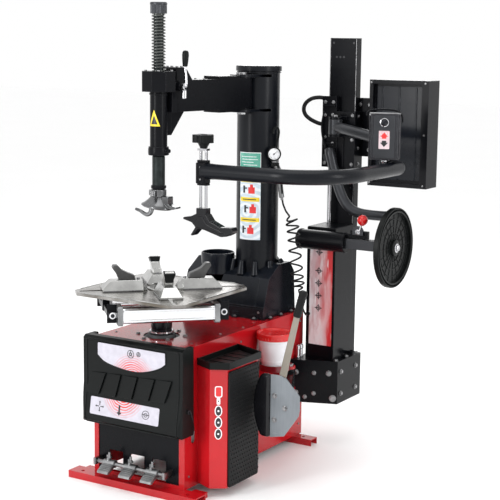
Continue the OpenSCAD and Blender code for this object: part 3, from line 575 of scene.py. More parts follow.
def build_fascia():
    ribs = Form()
    lines = [((-204, 468), (-236, 378)), ((-126, 471), (-158, 381)), ((-50, 474), (-74, 380)),
            ((32, 476), (7, 383)),
            ((117, 480), (89, 388)), ((200, 484), (168, 392))]
    for (lt, lb), (rt, rb) in zip(lines, lines[1:]):
        corners = [(*lb, 1.0), (rb[0] - 3, rb[1], 8.0), (rt[0] - 3, rt[1], 8.0), (*lt, 1.0)]
        ribs.rings([[(x, fascia_y(z) + 2, z) for x, z, _ in corners],
                [(x, fascia_y(z) - out, z) for x, z, out in corners]])
    piece("fascia_ribs", "frame", ribs, MOULDED, bevel=2.2, segments=3, sharp=20)

    rim = Form()
    loop = [(x, -475, 604) for x in range(-226, 227, 12)]
    loop += [(228, fascia_y(z), z) for z in range(598, 264, -12)]
    loop += [(x, -490, 262) for x in range(226, -227, -12)]
    loop += [(-228, fascia_y(z), z) for z in range(268, 604, 12)]
    rim.tube(loop + [loop[0]], 3.2, 10)
    smile = ([(-170, 596), (160, 594)] + arc(158, 588, 7, 50, 0, 4)
            + [(p.x, p.y) for p in smooth_path([(165, 546, 0), (138, 527, 0), (89, 508, 0), (25, 495, 0),
            (-55, 499, 0),
            (-136, 516, 0), (-175, 543, 0)], 5)] + arc(-168, 588, 7, 180, 130, 4))
    rim.tube([(x, -474.6, z) for x, z in smile + smile[:2]], 2.4, 8)
    piece("fascia_beading", "frame", rim, MOULDED, bevel=0)

    ground = (0.60, 0.58, 0.66)
    upper = print_look("upper_panel_print", ground, (0.66, 0.05, 0.05), (5, -474, 455), 34, (0.35, 0.6), (70, 118))
    inner = [(x * 0.985 - 0.1, 550 + (z - 550) * 0.965) for x, z in smile]
    piece("upper_panel", "frame", Form().front(inner, -474.9, -473), upper, bevel=0.3)
    lower = print_look("lower_panel_print", ground, (0.70, 0.06, 0.05), (-40, -480, 402), 30, (0.35, 0.6),
            (60, 110))
    at = Vector((0, -474, 420))
    form = Form().prism(soft_rect(-202, 54, 142, 126, 6), at, X, SLOPE, SLOPE_OUT, 0.9)
    piece("lower_panel", "frame", form, lower, bevel=0.3)

    # generic pictograms: wheels, a clamp cross and a breaker bar
    icons = Form()
    front_axis = FRONT
    for x, z, r in ((-6, 566, 17), (33, 570, 10)):
        c = Vector((x, -474.9, z))
        icons.lathe([(r, 0), (r, 0.5), (r - 2.6, 0.5), (r - 2.6, 0), (r, 0)], c, front_axis, 30)
        icons.lathe([(r * 0.45, 0), (r * 0.45, 0.5), (r * 0.2, 0.5), (r * 0.2, 0), (r * 0.45, 0)], c, front_axis,
                20)
        for k in range(5):
            a = math.radians(72 * k + 18)
            icons.front([(x + r * 0.4 * math.cos(a) - 1, z + r * 0.4 * math.sin(a)),
                    (x + r * 0.4 * math.cos(a) + 1, z + r * 0.4 * math.sin(a)),
                    (x + r * 0.9 * math.cos(a) + 1, z + r * 0.9 * math.sin(a)),
                    (x + r * 0.9 * math.cos(a) - 1, z + r * 0.9 * math.sin(a))],
                    -475.4, -474.8)
    low = at + SLOPE_OUT * 0.9
    draw = lambda outline: icons.prism(outline, low, X, SLOPE, SLOPE_OUT, 0.4)
    for turn in range(4):
        a = math.radians(90 * turn)
        spin = lambda s, t: (-154 + s * math.cos(a) - t * math.sin(a), 90 + s * math.sin(a) + t * math.cos(a))
        draw([spin(4, -1.8), spin(16, -1.8), spin(16, -5), spin(22, 0), spin(16, 5), spin(16, 1.8), spin(4, 1.8)])
    draw(soft_rect(-58, 70, -50, 112, 3))
    draw(soft_rect(-64, 100, -44, 106, 2))
    for r in (18, 9):
        icons.lathe([(r, 0), (r, 0.4), (r - 2.4, 0.4), (r - 2.4, 0), (r, 0)], low + Vector((77, 0, 0)) + SLOPE * 90,
                SLOPE_OUT, 28)
    draw([(62, 88), (92, 88), (92, 91), (62, 91)])
    piece("panel_pictograms", "frame", icons, INK_BLACK, bevel=0)


build_fascia()


def build_front():
    """Pedal linkage, foot pads and fastenings of the cabinet."""
    rod = Form().tube(smooth_path([(251, -438, 352), (252, -444, 362), (251, -436, 366), (250, -424, 356),
            (246, -404, 320),
            (238, -384, 278), (226, -374, 250)], 5), 3.2, 10)
    piece("pedal_linkage_rod", "frame", rod, SHAFT, bevel=0)
    bolts = Form()
    for a in (20, 80, 140, 200, 260, 320):
        bolts.bolt((TABLE.x + 100 * math.cos(math.radians(a)), TABLE.y + 100 * math.sin(math.radians(a)), 607), Z,
                7)
    for x, y in ((-190, -330), (190, -330), (-190, 60), (190, -120), (200, 40)):
        bolts.screw((x, y, 607), Z, 5, 3)
    for y, z in ((-402, 560), (-402, 300), (-20, 560), (160, 560), (480, 560), (480, 80), (-20, 80), (-402, 80)):
        bolts.screw((227, y, z), X, 5, 3)
        bolts.screw((-227, y, z), (-1, 0, 0), 5, 3)
    for x in (-200, 0, 200):
        for z in (70, 560):
            bolts.screw((x, 508, z), Y, 5, 3)
    piece("cabinet_bolts", "frame", bolts, ZINC, bevel=0.3)

    vents = Form()
    for k in range(8):
        z = 330 + 22 * k
        vents.block((-231, 150, z), (-226, 290, z + 9))
    piece("side_vent_louvres", "frame", vents, RED, bevel=2)
    nipple = Form().lathe([(6.4, 0), (6.4, 6), (5.4, 7), (5.4, 9), (6.4, 10), (6.4, 16), (5, 18), (3, 18), (3, 4),
            (0, 4)], (120, 507.5, 420), Y, 32)
    nipple.lathe([(13, 0), (13, 7), (11, 9), (6, 9), (6, 0), (13, 0)], (120, 507.5, 420), Y, 6)
    piece("air_inlet_fitting", "frame", nipple, ZINC, bevel=0.3)

    pads = {"clamp_pedal_body": -116, "breaker_pedal_body": -8, "turn_pedal_body": 100}
    for body, x in pads.items():
        pad = Form()
        slope = Vector((0, -26, -14)).normalized()
        out = Vector((0, -14, 26)).normalized()
        top = Vector((x, -475, 97.5))
        for k in range(5):
            pad.prism([(-24, 4 + 9 * k), (24, 4 + 9 * k), (24, 9 + 9 * k), (-24, 9 + 9 * k)], top, X, slope, out,
                    2.2)
        piece(body.replace("_body", "_grip"), body, pad, CAST_ALLOY, bevel=0.8)
        stud = Form().bolt((x, -474, 116), Z, 8, 6)
        stud.lathe([(5, 0), (5, 22), (4, 24), (0, 24)], (x, -474, 116))
        piece(body.replace("_body", "_stud"), body, stud, ZINC, bevel=0.4)


build_front()


def build_side():
    """Side cover badges, wheel pad and tray insert."""
    along, out, at = Vector((58, 38, 0)).normalized(), Vector((38, -58, 0)).normalized(), Vector((339, -359, 0))
    up = Z
    white, dark, red = Form(), Form(), Form()
    white.prism(soft_rect(-15, 415, 15, 461, 8), at, along, up, out, 0.5)
    red.prism(soft_rect(-11, 419, 11, 457, 6), at, along, up, out, 0.9)
    white.prism(soft_rect(-7, 386, 7, 414, 4), at, along, up, out, 0.5)
    dark.prism(soft_rect(-2.5, 397, 2.5, 403, 2), at, along, up, out, 0.9)
    for z in (360, 313, 266):
        white.prism([(15 * math.cos(a * 0.2618), z + 23 * math.sin(a * 0.2618)) for a in range(24)], at, along, up,
                out, 0.5)
        dark.prism([(11 * math.cos(a * 0.2618), z + 19 * math.sin(a * 0.2618)) for a in range(24)], at, along, up,
                out, 0.9)
        white.prism([(4 * math.cos(a * 0.5236), z + 4 * math.sin(a * 0.5236)) for a in range(12)], at, along, up,
                out, 1.2)
    piece("badge_ground", "frame", white, INK_WHITE, bevel=0)
    piece("badge_ovals", "frame", dark, INK_BLACK, bevel=0)
    piece("badge_square", "frame", red, INK_RED, bevel=0)

    pad = Form().side(soft_rect(-336, 42, -114, 518, 10), 368, 377)
    piece("wheel_pad_sheet", "frame", pad, RUBBER, ("wheel_pad",), bevel=2, segments=3)
    studs = Form()
    for row in range(27):
        for col in range(12):
            y, z = -326 + col * 18 + (9 if row % 2 else 0), 52 + row * 17.6
            if y < -118:
                studs.lathe([(4.4, 0), (3.6, 1.8), (1.8, 2.9), (0, 3.0)], (376.8, y, z), X, 8)
    piece("wheel_pad_studs", "frame", studs, RUBBER, bevel=0)

    tray = Form().level([(244, -322), (312, -366), (366, -336), (366, -118), (244, -66)], 535.2, 537.5)
    for y in (-290, -240, -190, -140):
        tray.block((250, y, 537), (360, y + 6, 541))
    piece("tray_mat", "frame", tray, RUBBER, bevel=0.8)
    lip = Form().tube([(229, -345, 556), (314, -385, 556), (380, -346, 556), (380, -110, 556), (229, -48, 556)],
            2.6, 10)
    piece("tray_lip", "frame", lip, MOULDED, bevel=0)


build_side()


def build_breaker():
    y = -162
    sheet = Form().front([(462, 225), (526, 238), (591, 330), (596, 357), (595, 413), (531, 479), (508, 487),
            (462, 485)], y - 4, y + 3)
    sheet.front([(470, 240), (516, 250), (516, 256), (470, 246)], y - 5, y - 3)
    piece("bead_blade_sheet", "breaker", sheet, SHEET_GREY, ("breaker_blade",), bevel=1.2,
            segments=3)
    bulge = [(462, 224), (421, 224)] + [(645 - math.sqrt(260 ** 2 - (z - 355) ** 2), z) for z in range(235, 480,
            12)] + [(421, 486), (462, 486)]
    nose = Form().front(bulge, y - 15.5, y + 15.5)
    piece("bead_blade_nose", "breaker", nose, CAST_BLACK, bevel=13, segments=6, sharp=50)
    bolts = Form()
    for x, z in ((482, 300), (482, 400), (530, 355)):
        bolts.bolt((x, y - 4, z), FRONT, 8)
    bolts.lathe([(20, 0), (20, 8), (14, 10), (0, 10)], (290, 278, 404), Z, 32)
    piece("breaker_bolts", "breaker", bolts, ZINC, bevel=0.4)
    bar = Form().front([(502, 490), (509, 489.6), (531, 481), (588, 734), (565, 740)], y - 5, y + 5)
    piece("breaker_handle_bar", "breaker", bar, WARM_GREY, ("breaker_handle",), bevel=2, segments=3)
    p, q = Vector((576, y, 736)), Vector((606, y, 842))
    length = (q - p).length
    profile = [(0, 0), (15, 0), (16.5, 4)]
    for k in range(7):
        profile += [(16.6, 10 + 12 * k), (15.2, 13 + 12 * k), (16.8, 17 + 12 * k)]
    profile += [(17, length - 12), (15, length - 4), (9, length), (0, length)]
    piece("breaker_grip", "breaker", Form().lathe(profile, p, q - p, 36), RUBBER, bevel=0.6)


build_breaker()


def build_bucket():
    at = Vector((308, 122, 0))
    pail = Form().lathe([(0, 436.2), (52, 436.2), (54, 438), (57.5, 462), (58.6, 463), (59.2, 469), (58.6, 470),
            (70.4, 548), (73, 549),
            (73.8, 574), (71.7, 575), (69, 548), (51.5, 439.2), (0, 439.2)], at, n=64)
    piece("soap_pail", "bucket_body", pail, WHITE, ("bucket",), bevel=0.5)
    lid = Form().lathe([(0, 581), (60, 581), (67, 582), (70, 587), (74, 588), (77, 587), (78, 584), (78, 574),
            (76.8, 572), (76.8, 562),
            (78, 560), (77, 558), (75, 558), (74.6, 575.5), (40, 576.4), (0, 576.4)], at, n=64)
    for k in range(36):
        a = math.radians(10 * k)
        lid.rod(at + Vector((76.6 * math.cos(a), 76.6 * math.sin(a), 563)),
                at + Vector((76.6 * math.cos(a), 76.6 * math.sin(a), 572)), 1.3, n=8)
    piece("soap_pail_lid", "lid_body", lid, RED_PLASTIC, ("bucket_lid",), bevel=0.5)


build_bucket()


# ---------------------------------------------------------------- turntable
def build_turntable():
    drum = Form().lathe([(0, 484), (42, 484), (42, 640), (43.5, 642), (43.5, 776), (60, 782), (60, 789.8),
            (0, 789.8)], TABLE, n=64)
    piece("spindle_drum", "turntable", drum, GLOSS_BLACK, ("spindle",), bevel=1)
    ring = Form().lathe([(50, 622), (50, 628), (48, 630), (43, 630), (43, 620), (48, 620), (50, 622)], TABLE, n=64)
    piece("spindle_ring", "turntable", ring, CHROME, bevel=0)
    hub = Form().lathe([(58, 802), (58, 806), (54, 809), (16, 809), (13, 806), (13, 796), (0, 796)], TABLE, n=64)
    piece("plate_centre", "turntable", hub, JAW_STEEL, bevel=0.6)
    rim = Form()
    for ax, ay, bx, by in ((186, 269, -186, 269), (-269, 186, -269, -186), (-186, -269, 186, -269),
            (269, -186, 269, 186)):
        a, b = TABLE + Vector((ax, ay, 0)), TABLE + Vector((bx, by, 0))
        inward = ((TABLE - (a + b) / 2)).normalized()
        rim.rings([[p + Vector((0, 0, 802)), p + Vector((0, 0, 804.6)) + inward * 1,
                p + Vector((0, 0, 804.6)) + inward * 5,
                p + Vector((0, 0, 802)) + inward * 9] for p in (a, b)])
    piece("plate_edge_roll", "turntable", rim, JAW_STEEL, bevel=0)
    housing = Form().lathe([(0, 440), (108, 440), (110, 444), (110, 590), (130, 592), (130, 603), (60, 603),
            (58, 615), (56, 617), (44, 617), (44, 480), (0, 480)],
            TABLE, n=48)
    housing.block((60, -362, 470), (150, -182, 560)).rod((105, -192, 515), (105, -132, 515), 45)
    piece("worm_gearbox", "frame", housing, CAST_IRON, ("gearbox",), bevel=3)


build_turntable()


def slide_ring(x, half, low, mid, top_half, top):
    return [(x, -half, low), (x, half, low), (x, half, mid), (x, top_half, top), (x, -top_half, top),
            (x, -half, mid)]


def build_jaw(name, angle, covered, yoked):
    body, base = name + "_jaw", PLATE_TOP
    slide = Form(TABLE, angle).rings([slide_ring(62, 30, base, base + 6, 20, base + 12),
            slide_ring(82, 45, base, base + 9, 26, base + 43),
            slide_ring(212, 45, base, base + 9, 26, base + 43), slide_ring(246, 45, base, base + 8, 43, base + 9)])
    slide.block((120, -10.5, 788), (230, 10.5, 802.8)).block((120, -24, 776), (230, 24, 789))
    piece(name + "_jaw_slide", body, slide, JAW_STEEL, ("jaw_" + name,), bevel=1.8, segments=3)
    edge = Form(TABLE, angle)
    for side in (-1, 1):
        edge.block((86, side * 46.5 - 1.5, base), (240, side * 46.5 + 1.5, base + 5))
    edge.bolt((150, 0, base + 43), Z, 7).bolt((96, 0, base + 42.6), Z, 6)
    piece(name + "_jaw_gib", body, edge, ZINC, bevel=0.6)
    claw = Form(TABLE, angle).front([(108, base + 42), (176, base + 42), (187, base + 68), (204, base + 92),
            (200, base + 103.5), (182, base + 103.5),
            (164, base + 84), (140, base + 72), (114, base + 62)], -19, 19)
    piece(name + "_jaw_claw", body, claw, JAW_STEEL if covered else FORGED, bevel=4, segments=4,
            sharp=24)
    if covered:
        cover = Form(TABLE, angle).rings([
                [(158, -15, base + 62), (186, -15, base + 56), (186, 15, base + 56), (158, 15, base + 62)],
                [(164, -19, base + 88), (196, -19, base + 76), (196, 19, base + 76), (164, 19, base + 88)],
                [(174, -24, base + 104.5), (209, -24, base + 96), (209, 24, base + 96), (174, 24, base + 104.5)]])
        piece(name + "_jaw_cover", body, cover, MOULDED, bevel=2.6, segments=3, sharp=24)
    if yoked:
        yoke = Form(TABLE, angle).block((214, -16, 720), (244, 16, 788)).block((216, -181, 722), (240, 181, 746))
        for s in (-1, 1):
            yoke.rings([[(206, s * 168 - 12, 700), (244, s * 168 - 12, 700), (244, s * 168 - 12, 776),
                    (206, s * 168 - 12, 776)],
                    [(206, s * 168 - 7, 700), (244, s * 168 - 7, 700), (244, s * 168 - 7, 776),
                    (206, s * 168 - 7, 776)]])
        piece(name + "_jaw_yoke", body, yoke, BLACK, bevel=3, segments=3)
        eyes, pins = Form(TABLE, angle), Form(TABLE, angle)
        for s in (-1, 1):
            for toward in (-1, 1):
                at = Vector((224, s * 167.6 + toward * 12, 734))
                eyes.lathe([(13, 0), (13, 2.8), (11.6, 4.2), (8.4, 4.2), (8, 3), (8, 0), (13, 0)], at,
                        (0, toward, 0), 36)
                pins.lathe([(7.8, 0), (7.8, 4), (6, 5.5), (0, 5.5)], at, (0, toward, 0), 24)
        piece(name + "_jaw_pin_washers", body, eyes, WHITE, bevel=0.3)
        piece(name + "_jaw_pins", body, pins, SHAFT, bevel=0.3)


build_jaw("front", 315, True, False)
build_jaw("back", 135, True, False)
build_jaw("left", 225, False, True)
build_jaw("right", 45, False, True)


def build_clamp_cylinders():
    tubes, caps, fittings = Form(TABLE, 45), Form(TABLE, 45), Form(TABLE, 45)
    for s in (-1, 1):
        tubes.prism(soft_rect(-34, -34, 34, 34, 20, 8), (-186, s * 170, 734), Y, Z, X, 370)
        for z in (-20, 20):
            tubes.block((-184, s * 170 - 36.5, 734 + z - 4), (182, s * 170 + 36.5, 734 + z + 4))
        for x in (-206, 182):
            caps.prism(soft_rect(-39, -39, 39, 39, 9, 4), (x, s * 170, 734), Y, Z, X, 20)
            for u in (-28, 28):
                for v in (-28, 28):
                    fittings.screw((x if x < 0 else x + 20, s * 170 + u, 734 + v), (-1 if x < 0 else 1, 0, 0), 5, 3)
        caps.lathe([(11, 0), (11, 12), (8.2, 12), (8.2, 0), (11, 0)], (-218, s * 170, 734), X, 28)
        for x in (-192, 186):
            fittings.lathe([(7, 0), (7, 6), (4, 7), (4, 14), (0, 14)], (x, s * 170 - s * 39, 752), (0, -s, 0), 6)
    piece("clamp_cylinder_tubes", "left_jaw", tubes, ALLOY, ("cylinder_barrels",), bevel=1.2,
            segments=3)
    piece("clamp_cylinder_caps", "left_jaw", caps, CAST_ALLOY, bevel=2.2, segments=3)
    piece("clamp_cylinder_fittings", "left_jaw", fittings, ZINC, bevel=0.3)


build_clamp_cylinders()


# ---------------------------------------------------------------- column
def sector(centre, r0, r1, a0, a1, z0, z1, n=14):
    """A sticker wrapped round an upright tube."""
    outer, inner = arc(centre.x, centre.y, r1, a0, a1, n), arc(centre.x, centre.y, r0, a1, a0, n)
    return Form().level(outer + inner, z0, z1)


def build_column():
    bowl = Form().lathe([(0, 776.2), (70, 776.2), (74, 780), (75, 850), (75, 866), (73, 870.5), (70, 871.5),
            (67.5, 869), (67.5, 850),
            (69, 784), (66, 782), (0, 782)], (-95, 292, 0), n=64)
    piece("paste_bowl", "frame", bowl, GLOSS_BLACK, ("lube_bowl",), bevel=0.6)

    trim = Form()
    r = COLUMN_R
    trim.lathe([(r, 0), (99, 0), (100, 2), (100, 20), (97, 22.6), (r, 22.6), (r, 0)], COLUMN + Vector((0, 0, 1676)), n=96)
    trim.lathe([(r, 0), (97.5, 0), (97.5, 4), (r, 6), (r, 0)], COLUMN + Vector((0, 0, 1668)), n=96)
    piece("column_cap_band", "frame", trim, TUBE_BLACK, bevel=0.8)
    cones = Form()
    for a in (-135, -98, -62, -25, 20, 70, 120, 170):
        c, s = math.cos(math.radians(a)), math.sin(math.radians(a))
        base = 836 if a > -10 and a < 160 else 800
        cones.rod((62 + 111 * c, 368 + 111 * s, base - 12), (62 + 103 * c, 368 + 103 * s, 848), 19, 11, 24)
    piece("column_gussets", "frame", cones, GLOSS_BLACK, bevel=1.5)

    tabs, bolts = Form(), Form()
    for x in (-190, -60, 60, 160):
        tabs.block((x - 14, 184, 607), (x + 14, 202, 613)).block((x - 14, 198, 607), (x + 14, 203, 634))
        bolts.bolt((x, 192, 613), Z, 6, 4)
    for y in (250, 340, 430):
        tabs.block((199, y - 14, 607), (216, y + 14, 613)).block((199, y - 14, 607), (203, y + 14, 634))
        bolts.bolt((208, y, 613), Z, 6, 4)
    for x in (-200, 176):
        bolts.screw((x, 201, 640), FRONT, 5, 3)
    piece("column_box_tabs", "frame", tabs, GLOSS_BLACK, bevel=1.2)
    piece("column_box_bolts", "frame", bolts, ZINC, bevel=0.3)
    grooves = Form().block((-222, 199.6, 661), (196, 202.5, 664.5))
    for x in (150, -190):
        grooves.side([(206.5, 663), (209.5, 662), (248.5, 780), (245.5, 781)], x, x + 6)
    piece("column_box_ridges", "frame", grooves, GLOSS_BLACK, bevel=1)

    r = COLUMN_R
    stick = lambda lift, *args: sector(COLUMN, r - 0.4, r + lift, *args)
    green = Graph("green_notice")
    shade = green.span(green.noise(9.0, 2.0), 0.3, 0.7)
    green.put(green.mix(shade, (0.03, 0.30, 0.21), (0.20, 0.50, 0.40)), green.shader.inputs["Base Color"])
    green.put(green.span(green.noise(60.0), 0.3, 0.7, 0.26, 0.36), green.shader.inputs["Roughness"])
    green.put(green.bump(green.noise(300.0), 0.01, green.worn(0.4)[0]), green.shader.inputs["Normal"])
    piece("notice_frame", "frame", stick(0.4, -114, -50, 1250, 1326), INK_WHITE, bevel=0)
    piece("notice_green", "frame", stick(0.8, -112.5, -51.5, 1253, 1323), green.mat, bevel=0)
    lines = Form()
    for k, (a0, a1) in enumerate(((-108, -62), (-104, -58), (-106, -70), (-100, -60))):
        lines.rings(strip_rings(r + 0.6, r + 1.0, a0, a1, 1306 - 12 * k, 1308.4 - 12 * k))
    piece("notice_rules", "frame", lines, INK_WHITE, bevel=0)
    strip = print_look("safety_strip_print", (0.62, 0.74, 0.82), (0.80, 0.86, 0.90), (62, 275, 1060), 12,
            (0.3, 0.8))
    piece("strip_ground", "frame", stick(0.4, -112, -50, 942, 1242), strip, bevel=0)
    yellow, redpart, black = Form(), Form(), Form()
    for z in (1204, 1120, 1030):
        yellow.rings(strip_rings(r + 0.3, r + 0.8, -109, -53, z - 9, z + 9))
        black.rings(strip_rings(r + 0.7, r + 1.1, -102, -62, z - 2, z + 2))
    for z, a in ((1164, -80), (1078, -76), (986, -82)):
        redpart.rings(strip_rings(r + 0.3, r + 0.8, a - 4, a + 14, z - 18, z + 10))
        redpart.rings(strip_rings(r + 0.3, r + 0.8, a + 1, a + 9, z + 8, z + 22))
        black.rings(strip_rings(r + 0.3, r + 0.8, a - 20, a - 14, z - 16, z + 16))
        black.rings(strip_rings(r + 0.3, r + 0.8, a - 16, a - 8, z + 2, z + 8))
    piece("strip_bars", "frame", yellow, INK_YELLOW, bevel=0)
    piece("strip_red_marks", "frame", redpart, INK_RED, bevel=0)
    piece("strip_dark_marks", "frame", black, INK_BLACK, bevel=0)


def strip_rings(r0, r1, a0, a1, z0, z1, centre=COLUMN, n=8):
    """Rings of a thin patch wrapped round an upright tube; z1 may follow the way along."""
    out = []
    for k in range(n + 1):
        a = math.radians(a0 + (a1 - a0) * k / n)
        c, s = math.cos(a), math.sin(a)
        low, high = (z0, z1) if not callable(z1) else (z0, z1(k / n))
        out.append([(centre.x + r0 * c, centre.y + r0 * s, low), (centre.x + r1 * c, centre.y + r1 * s, low),
                (centre.x + r1 * c, centre.y + r1 * s, high), (centre.x + r0 * c, centre.y + r0 * s, high)])
    return out


build_column()


# ---------------------------------------------------------------- swing arm and tool head
def build_arm():
    block = Form(HEAD, ARM_TURN).side([(60, 1640), (60, 1694), (64, 1698), (112, 1698), (118, 1694), (152, 1650),
            (152, 1640)], -39, 42)
    piece("arm_lock_housing", "arm", block, BLACK, bevel=3, segments=3)
    screws = Form(HEAD, ARM_TURN)
    for x in (-26, 28):
        for y in (76, 102):
            screws.screw((x, y, 1698), Z, 6, 5)
    for k in range(4):
        a = math.radians(45 + 90 * k)
        screws.screw((52 * math.cos(a), 52 * math.sin(a), 1683), Z, 6, 5)
    for x in (-24, 24):
        screws.screw((x, 240, 1647), Z, 5, 4)
    piece("arm_screws", "arm", screws, ZINC, bevel=0.3)

    sleeve = Form().lathe([(35, 0), (41.5, 2), (42.5, 8), (42.5, 26), (40, 33), (36, 36), (35, 0)],
            HEAD + Vector((0, 0, 1347)), n=64)
    sleeve.lathe([(35, 0), (37.5, 1), (38, 5), (37.5, 9), (35, 10), (35, 0)], HEAD + Vector((0, 0, 1588)), n=64)
    sleeve.rod(HEAD + Vector((38, -6, 1366)), HEAD + Vector((56, -8, 1367)), 5.5).rod(HEAD + Vector((54, -8, 1367)),
            HEAD + Vector((60, -8.6, 1367)), 8)
    piece("sleeve_collar", "arm", sleeve, BLACK, bevel=0.6)

    tip = lambda base, top: (lambda t: base + 0.6 + (top - base) * (1 - abs(2 * t - 1)))
    mark = Form().rings(strip_rings(34.8, 35.5, -127, -45, 1465, tip(1465, 1530), HEAD, 24))
    piece("sleeve_triangle", "arm", mark, INK_YELLOW, bevel=0)
    inner = Form().rings(strip_rings(35.3, 35.9, -108, -62, 1473, tip(1473, 1508), HEAD, 16))
    piece("sleeve_triangle_core", "arm", inner, INK_BLACK, bevel=0)

    turns, start, end, per = 18, 1688, 1904, 24
    wire = [(HEAD.x + 25.6 * math.cos(2 * math.pi * k / per), HEAD.y + 25.6 * math.sin(2 * math.pi * k / per),
            start + (end - start) * k / (turns * per)) for k in range(turns * per + 1)]
    coil = Form().tube(wire, 3.1, 10)
    coil.lathe([(27, 0), (27, 2.6), (22, 2.6), (22, 0), (27, 0)], HEAD + Vector((0, 0, 1683.5)), n=40)
    coil.lathe([(27, 0), (27, 2.6), (22, 2.6), (22, 0), (27, 0)], HEAD + Vector((0, 0, 1905.6)), n=40)
    spring = piece("return_coil_spring", "arm", coil, SPRING, ("return_spring",), bevel=0, sharp=60)
    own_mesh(spring)

    cap = Form(HEAD)
    flutes = [(r * math.cos(2 * math.pi * k / 144), r * math.sin(2 * math.pi * k / 144))
            for k, r in ((k, 31.4 + 1.9 * max(-0.4, math.cos(18 * 2 * math.pi * k / 144))) for k in range(144))]
    cap.level(flutes, 1909.2, 1943)
    cap.lathe([(33, 1942), (34.5, 1944), (34.5, 1951), (32.5, 1953.8), (27, 1953.8), (25, 1949), (0, 1949)],
            (0, 0, 0), n=72)
    piece("shaft_cap", "tool_shaft", cap, GREY_ENAMEL, bevel=0.7)
    stem = Form(HEAD).lathe([(0, 1210.2), (24, 1210.2), (26, 1213), (26, 1342), (23, 1346), (20, 1346), (20, 1909),
            (0, 1909)], (0, 0, 0), n=64)
    piece("lift_stem", "tool_shaft", stem, STEM, ("lift_shaft",), bevel=0.5)
    rings = Form(HEAD).lathe([(26, 0), (30, 1), (31, 4), (31, 11), (29, 14), (26, 15), (26, 0)], (0, 0, 1212), n=64)
    rings.bolt((0, 0, 1944.8), Z, 9, 4)
    piece("stem_ring", "tool_shaft", rings, BLACK, bevel=0.5)

    clamp = Form(HEAD, 8).lathe([(0, 1180), (30, 1180), (32, 1183), (32, 1207), (30, 1210), (0, 1210)], (0, 0, 0),
            n=64)
    clamp.block((-10, -50, 1184), (10, -26, 1206)).block((-40, -9, 1184), (-26, 9, 1206))
    piece("tool_clamp", "tool_shaft", clamp, HEAD_ALLOY, ("mount_head",), bevel=2, segments=3)
    grub = Form(HEAD, 8)
    for z in (1190, 1200):
        grub.screw((-10, -42, z), (-1, 0, 0), 4.5, 6).screw((0, -50, z), FRONT, 4, 4)
    piece("tool_clamp_screws", "tool_shaft", grub, ZINC, bevel=0.3)

    n = 40
    bell = Form(HEAD)
    bell_rings = []
    for r, z, tilt in ((30, 1182, 0), (33, 1176, 0), (41, 1166, 1), (54, 1153, 3), (64, 1145, 6), (66, 1139, 8),
            (62, 1135, 8), (44, 1139, 6), (26, 1142, 3), (4, 1142, 0)):
        ring = []
        for k in range(n):
            a = 2 * math.pi * k / n
            x = r * math.cos(a) * (1.18 if math.cos(a) < 0 else 0.92)
            ring.append((x, r * math.sin(a) * 0.86, z - tilt * math.cos(a)))
        bell_rings.append(ring)
    bell.rings(bell_rings)
    piece("mount_head_bell", "tool_shaft", bell, HEAD_ALLOY, bevel=0, sharp=55)
    horn = Form(HEAD).front([(26, 1146), (30, 1183), (58, 1184), (61, 1180), (61, 1154), (72, 1148), (97, 1144),
            (100, 1138), (84, 1133), (50, 1134)], -20, 16)
    piece("mount_head_horn", "tool_shaft", horn, HEAD_ALLOY, bevel=5, segments=4, sharp=24)
    hook = Form(HEAD).tube(smooth_path([(-24, -16, 1146), (-22, -18, 1128), (-28, -20, 1112), (-42, -22, 1105),
            (-60, -22, 1110),
            (-76, -22, 1118), (-92, -22, 1122), (-99, -22, 1124)], 5),
            [11 - 0.16 * k for k in range(36)], 18)
    piece("mount_head_finger", "tool_shaft", hook, HEAD_ALLOY, bevel=0)

    lever = Form().tube(smooth_path([(44, -215, 1618), (58, -215, 1617), (72, -215, 1619), (80, -215, 1630),
            (79, -215, 1654), (75, -215, 1690),
            (74, -215, 1712)], 5), 5.5, 16)
    lever.lathe([(0, 0), (14, 0), (15, 2), (15, 17), (12, 20), (0, 20)], (58.6, -215, 1622), X, 36)
    lever.lathe([(0, 0), (10, 0), (10.5, 3), (10.5, 28), (8, 33), (0, 33)], (70, -215, 1575), Z, 32)
    piece("lock_lever_rod", "lock", lever, CHROME, ("lock_lever",), bevel=0.4)
    p, q = Vector((73.6, -215, 1702)), Vector((76, -215, 1766))
    grip = Form().lathe([(0, 0), (8, 0), (10, 3), (12.5, 24), (13.8, 46), (12.5, 57), (8, 63), (0, 64)], p, q - p,
            36)
    piece("lock_lever_grip", "lock", grip, MOULDED, bevel=0)


build_arm()


